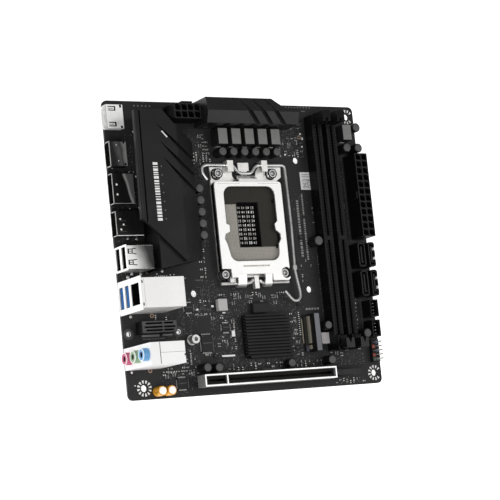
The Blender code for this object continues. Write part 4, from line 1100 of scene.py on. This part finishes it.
def usb_linings():
    """Dark floors, roofs, sides and backs inside the four stacked openings."""
    left = node_box("usb_stack")[0].x
    linings = Group("usb_linings", "deep_black")
    for y0, y1, floors in ((71.9, 84.0, (2.4, 9.7)), (50.2, 62.4, (2.4, 9.6))):
        for shelf in floors:
            z0, z1 = shelf + 0.03, shelf + 4.87
            linings.box((left + 0.7, y0 + 0.03, z0), (left + 1.58, y0 + 0.06, z1))
            linings.box((left + 0.7, y1 - 0.06, z0), (left + 1.58, y1 - 0.03, z1))
            linings.box((left + 0.7, y0 + 0.03, z1 - 0.03), (left + 1.58, y1 - 0.03, z1))
            linings.box((left + 0.7, y0 + 0.03, z0), (8.9, y1 - 0.03, z0 + 0.03))
            linings.box((left + 1.55, y0 + 0.03, z1 - 2.38), (left + 1.59, y1 - 0.03, z1))
    linings.done("black_plastic")


def network_marks(dark, sheen):
    """Seams drawn on the shell of the network stack."""
    low, high = node_box("network_usb_stack")
    z = high.z - SHELL_LIP
    for y in (49.2, 61.6):
        dark.box((low.x + 0.7, y, z), (low.x + 1.5, y + 1.6, z + 0.03))
    sheen.box((low.x + 2.2, 48.3, z), (low.x + 2.3, 64.3, z + 0.02))


def port_tongues():
    """Tongues of the two stacks, and the lining and contacts of the network jack."""
    left = node_box("usb_stack")[0].x
    black = Group("usb_tongues_black", "black_plastic", bevel=0.08)
    for shelf in (2.4, 9.7):
        black.box((left + 0.7, 73.0, shelf + 2.7), (left + 3.0, 82.9, shelf + 4.5))
    left = node_box("network_usb_stack")[0].x
    blue = Group("usb_tongues_blue", "usb_blue", bevel=0.08)
    for shelf in (2.4, 9.6):
        blue.box((left + 0.4, 50.6, shelf + 0.9), (left + 3.0, 61.9, shelf + 4.6))
    inner = Group("network_jack_lining", "deep_black")
    inner.box((12.2, 50.4, 17.3), (12.9, 62.2, 26.9))
    for low, high in (((50.35, 26.7), (62.25, 26.95)), ((50.35, 17.25), (62.25, 17.5)),
                      ((50.31, 17.3), (50.5, 26.9)), ((62.1, 17.3), (62.29, 26.9))):
        inner.box((left + 0.4, *low), (12.6, *high))
    pins = Group("network_contacts", "contact_gold")
    for k in range(8):
        y = 52.8 + k * 1.02
        pins.box((1.0, y - 0.2, 25.6), (9.0, y + 0.2, 26.2))
    black.done("black_plastic")
    blue.done("bright_port")
    inner.done("black_plastic")
    pins.done("contacts")


def spring(dark, x0, x1, y0, y1, z):
    """A spring tongue cut out of a shell, closed at its far end."""
    dark.box((x0, y0, z), (x1, y0 + 0.55, z + 0.03))
    dark.box((x0, y1 - 0.55, z), (x1, y1, z + 0.03))
    dark.box((x1 - 0.9, y0, z), (x1, y1, z + 0.03))
    dark.box((x0, y0 + 1.1, z), (x1 - 1.6, y0 + 1.4, z + 0.03))


def mouth(rims, node):
    """Thin rim round a port's opening."""
    low, high = node_box(node)
    x0, x1 = low.x - 0.005, low.x + 0.3
    rims.box((x0, low.y + 1.2, low.z - 0.01), (x1, high.y - 1.2, low.z + 0.3))
    rims.box((x0, low.y, high.z - 0.45), (x1, high.y, high.z + 0.012))
    rims.box((x0, low.y - 0.01, low.z + 1.8), (x1, low.y + 0.45, high.z))
    rims.box((x0, high.y - 0.45, low.z + 1.8), (x1, high.y + 0.01, high.z))


def port_details():
    """Rims, spring tongues, seams, painted glints and painted edge highlights of the port shells."""
    dark = Group("port_seams", "deep_black")
    pale = Group("port_painted_highlights", "port_highlight_white")
    rims = Group("port_rims_and_edge_highlight", "port_rim")
    sheen = Group("port_sheen", "port_sheen")
    for node in ("hdmi_port_1", "hdmi_port_2", "display_port", "usb_port_single"):
        mouth(rims, node)
    z = node_box("hdmi_port_1")[1].z
    spring(dark, 0.4, 5.1, 162.8, 165.4, z)
    spring(dark, 0.4, 5.0, 153.7, 156.3, z)
    dark.box((7.6, 164.6, z), (8.8, 166.3, z + 0.03))
    dark.box((7.6, 152.7, z), (8.8, 154.2, z + 0.03))
    z = node_box("hdmi_port_2")[1].z
    for x, y in ((7.9, 144.4), (8.1, 132.0)):
        dark.disc(x, y, 0.65, z + 0.025, z + 0.05, 12)
    # Painted glints near the shell's corners.
    for x, y in ((3.3, 143.0), (3.9, 133.9)):
        pale.disc(x, y, 0.32, z, z + 0.05, 10)
    z = node_box("display_port")[1].z
    # Painted glints on the springs.
    for y in (120.4, 114.8):
        pale.disc(1.5, y, 0.62, z, z + 0.1, 12)
    # Painted highlight along one long edge of the shell's top.
    rims.box((-0.8, 109.5, z), (11.8, 109.9, z + 0.03))
    z = node_box("usb_port_single")[1].z
    # Painted glints and painted sheen streaks on the single port's top.
    for x, y in ((1.6, 100.8), (3.4, 97.7), (1.7, 94.9)):
        pale.disc(x, y, 0.55, z, z + 0.1, 12)
    for y in (99.7, 97.0, 93.7):
        sheen.box((1.4, y, z), (5.2, y + 0.18, z + 0.02))
    # Painted highlight along one long edge of the single port.
    pale.box((-0.8, 91.3, z - 0.5), (15.4, 91.7, z + 0.03))
    usb_stack_marks(dark)
    network_marks(dark, sheen)
    for group, slot in ((dark, "black_plastic"), (pale, "bright_port"), (rims, "bright_port"),
                        (sheen, "dark_port")):
        group.done(slot)


def audio_details():
    low, high = node_box("audio_stack")
    bores = Group("audio_bores", "deep_black")
    sides = 32
    for finish, z in (("jack_pink", 7.8), ("jack_green", 18.2), ("jack_blue", 28.6)):
        ring = Group(f"audio_{finish}", finish, smooth=True)
        loops = []
        x0 = low.x
        for radius, x in ((1.72, x0 + 3.0), (1.72, x0 - 0.02), (2.6, x0 - 0.03), (3.3, x0 + 0.02),
                          (3.5, x0 + 0.3), (3.5, x0 + 3.75), (3.3, x0 + 3.8)):
            loops.append([ring.bm.verts.new((x, 22.7 + radius * math.cos(math.tau * k / sides),
                                             z + radius * math.sin(math.tau * k / sides)))
                          for k in range(sides)])
        for a, b in zip(loops, loops[1:] + loops[:1]):
            for k in range(sides):
                ring.bm.faces.new((a[k - 1], a[k], b[k], b[k - 1]))
        ring.done("white_plastic")
        bores.rod((x0 + 0.5, 22.7, z), (x0 + 0.8, 22.7, z), 1.7, 20)
    bores.done("black_plastic")
    seams = Group("audio_seams", "trim_grey")
    seams.box((4.9, 16.9, high.z - 0.01), (5.3, 28.6, high.z + 0.01))
    seams.box((5.4, 22.9, high.z - 0.01), (20.1, 23.05, high.z + 0.01))
    seams.box((19.6, 20.6, high.z - 0.01), (20.25, 21.8, high.z + 0.01))
    seams.done()


HEADER_PITCH = 2.54


def header_pins():
    pins = Group("header_pins", "tin", bevel=0.06)
    for name in ("usb_header_1", "usb_header_2"):
        cx, cy = node_middle(name)
        for column in (-1, 1):
            for row in range(4):
                x = cx + column * 1.0
                y = cy + (row - 1.5) * 2.0
                pins.block(x, y, 0.25, 0.25, 2.3, 6.4)
    pins.done("steel")


def panel_pins():
    cover = Group("panel_pins", "tin", bevel=0.05)
    tiles = {f"header_{colour}": Group(f"panel_base_{colour}", f"header_{colour}", bevel=0.06)
             for colour in ("blue", "red", "green")}
    top = node_box("front_panel_header")[1].z
    paint = {(0, 3): "header_red", (0, 1): "header_red", (1, 4): "header_blue",
             (1, 2): "header_blue", (0, 0): "header_green", (1, 0): "header_green"}
    for column in range(2):
        for row in range(5):
            x = 164.7 + HEADER_PITCH * column
            y = 14.3 + HEADER_PITCH * row
            cover.block(x, y, 0.34, 0.34, 2.8, top + 0.02)
            if (column, row) in paint:
                tiles[paint[column, row]].block(x, y, 1.0, 1.0, 2.75, 2.92)
    cover.done("steel")
    for group in tiles.values():
        group.done("header_base")


def sata_details():
    # Contacts darkened as painted shade deep in the ports.
    sata = Group("sata_contacts", "gold_in_painted_shade")
    latches = Group("sata_latches_and_glints", "mark_white")
    rims = Group("sata_rim_highlights", "sata_highlight", bevel=0.03)
    for number in range(1, 5):
        low, high = node_box(f"sata_port_{number}")
        x = (low.x + high.x) / 2 + 0.2
        for k in range(7):
            y = low.y + 3.6 + k * 1.27
            sata.box((x - 0.62, y - 0.2, 3.1), (x - 0.5, y + 0.2, high.z - 1.6))
        top = high.z
        x0, x1 = low.x + 0.25, high.x - 0.25
        y0, y1 = low.y + 0.5, high.y - 0.5
        # Lighter rims round each opening: painted highlight on its edges.
        rims.box((x0, y0 + 0.9, top), (x0 + 0.22, y1 - 0.9, top + 0.03))
        rims.box((x1 - 0.22, y0 + 0.9, top), (x1, y1 - 0.9, top + 0.03))
        rims.box((x0 + 0.9, y0, top), (x1 - 0.9, y0 + 0.22, top + 0.03))
        rims.box((x0 + 0.9, y1 - 0.22, top), (x1 - 0.9, y1, top + 0.03))
        rims.box((x - 0.4, low.y + 2.9, top - 0.62), (x - 0.15, high.y - 2.8, top - 0.57))
        if number in (2, 4):
            for y in (low.y + 4.2, low.y + 9.9):
                latches.box((high.x - 0.95, y, top - 3.0), (high.x - 0.82, y + 1.6, top - 0.3))
                # Painted glint on the top beside the latch.
                latches.box((high.x - 0.9, y, top), (high.x - 0.05, y + 1.7, top + 0.05))
    sata.done("contacts")
    latches.done("steel")
    rims.done("black_plastic")


# ---- stage, light and camera ---------------------------------------------------------
def stage():
    material = bpy.data.materials.new("backdrop")
    material.use_nodes = True
    shader = material.node_tree.nodes["Principled BSDF"]
    shader.inputs["Base Color"].default_value = (0.93, 0.93, 0.93, 1)
    shader.inputs["Roughness"].default_value = 0.9
    shader.inputs["Specular IOR Level"].default_value = 0.1
    shader.inputs["Emission Color"].default_value = (1, 1, 1, 1)
    shader.inputs["Emission Strength"].default_value = 0.75
    mesh = bpy.data.meshes.new("floor")
    bm = bmesh.new()
    bmesh.ops.create_grid(bm, x_segments=2, y_segments=2, size=6.0,
                          matrix=Matrix.Translation((0, 0, -0.0004)))
    bm.to_mesh(mesh)
    bm.free()
    floor = bpy.data.objects.new("floor", mesh)
    mesh.materials.append(material)
    bpy.context.scene.collection.objects.link(floor)


def area_light(name, place, target, size, power):
    light = bpy.data.lights.new(name, "AREA")
    light.shape = "RECTANGLE"
    light.size = size[0]
    light.size_y = size[1]
    light.energy = power
    obj = bpy.data.objects.new(name, light)
    obj.location = place
    obj.rotation_euler = (Vector(target) - Vector(place)).to_track_quat("-Z", "Y").to_euler()
    bpy.context.scene.collection.objects.link(obj)


def lights():
    world = bpy.data.worlds.new("studio")
    bpy.context.scene.world = world
    world.use_nodes = True
    back = world.node_tree.nodes["Background"]
    back.inputs["Color"].default_value = (1, 1, 1, 1)
    back.inputs["Strength"].default_value = 0.28
    area_light("overhead", (0.84, -0.16, 1.32), (0, 0, 0), (1.3, 1.3), 7.5)
    area_light("key", (-0.8, -0.6, 1.3), (0, 0, 0), (0.8, 0.8), 15)
    area_light("fill", (-0.9, 0.9, 0.9), (0, 0, 0), (0.8, 0.8), 2.5)


def camera():
    """Telephoto view down on the board from its lower left."""
    data = bpy.data.cameras.new("camera")
    data.sensor_width = 36.0
    data.lens = 120.8
    data.clip_start = 0.05
    obj = bpy.data.objects.new("camera", data)
    forward = Vector((0.508396, 0.132035, -0.850941)).normalized()
    up = Vector((0.020040, 0.986094, 0.164979))
    right = forward.cross(up).normalized()
    up = right.cross(forward)
    place = board_point(-410.94, -46.65, 833.79)
    obj.matrix_world = Matrix((
        (right.x, up.x, -forward.x, place.x), (right.y, up.y, -forward.y, place.y),
        (right.z, up.z, -forward.z, place.z), (0, 0, 0, 1)))
    bpy.context.scene.collection.objects.link(obj)
    bpy.context.scene.camera = obj


make_solder_mask()
make_plastics()
make_port_finishes()
make_metals()
make_component_finishes()
finish_cad_nodes()
mounting_holes()
antenna_lands()
board_print()
pale_parts()
board_outlines()
board_solder()
small_parts()
vias()
chips()
resistor_networks()
inductors()
paper_label()
standing_capacitors()
choke_details()
socket_details()
socket_window()
socket_screws()
load_plate_marks()
heatsink_details()
power_pins()
slot_contacts()
memory_slot_walls()
card_slot_rim()
socket_trims()
usb_linings()
port_fades()
port_details()
port_tongues()
audio_details()
header_pins()
panel_pins()
sata_details()
stage()
lights()
camera()
bpy.context.scene.view_settings.view_transform = "Standard"
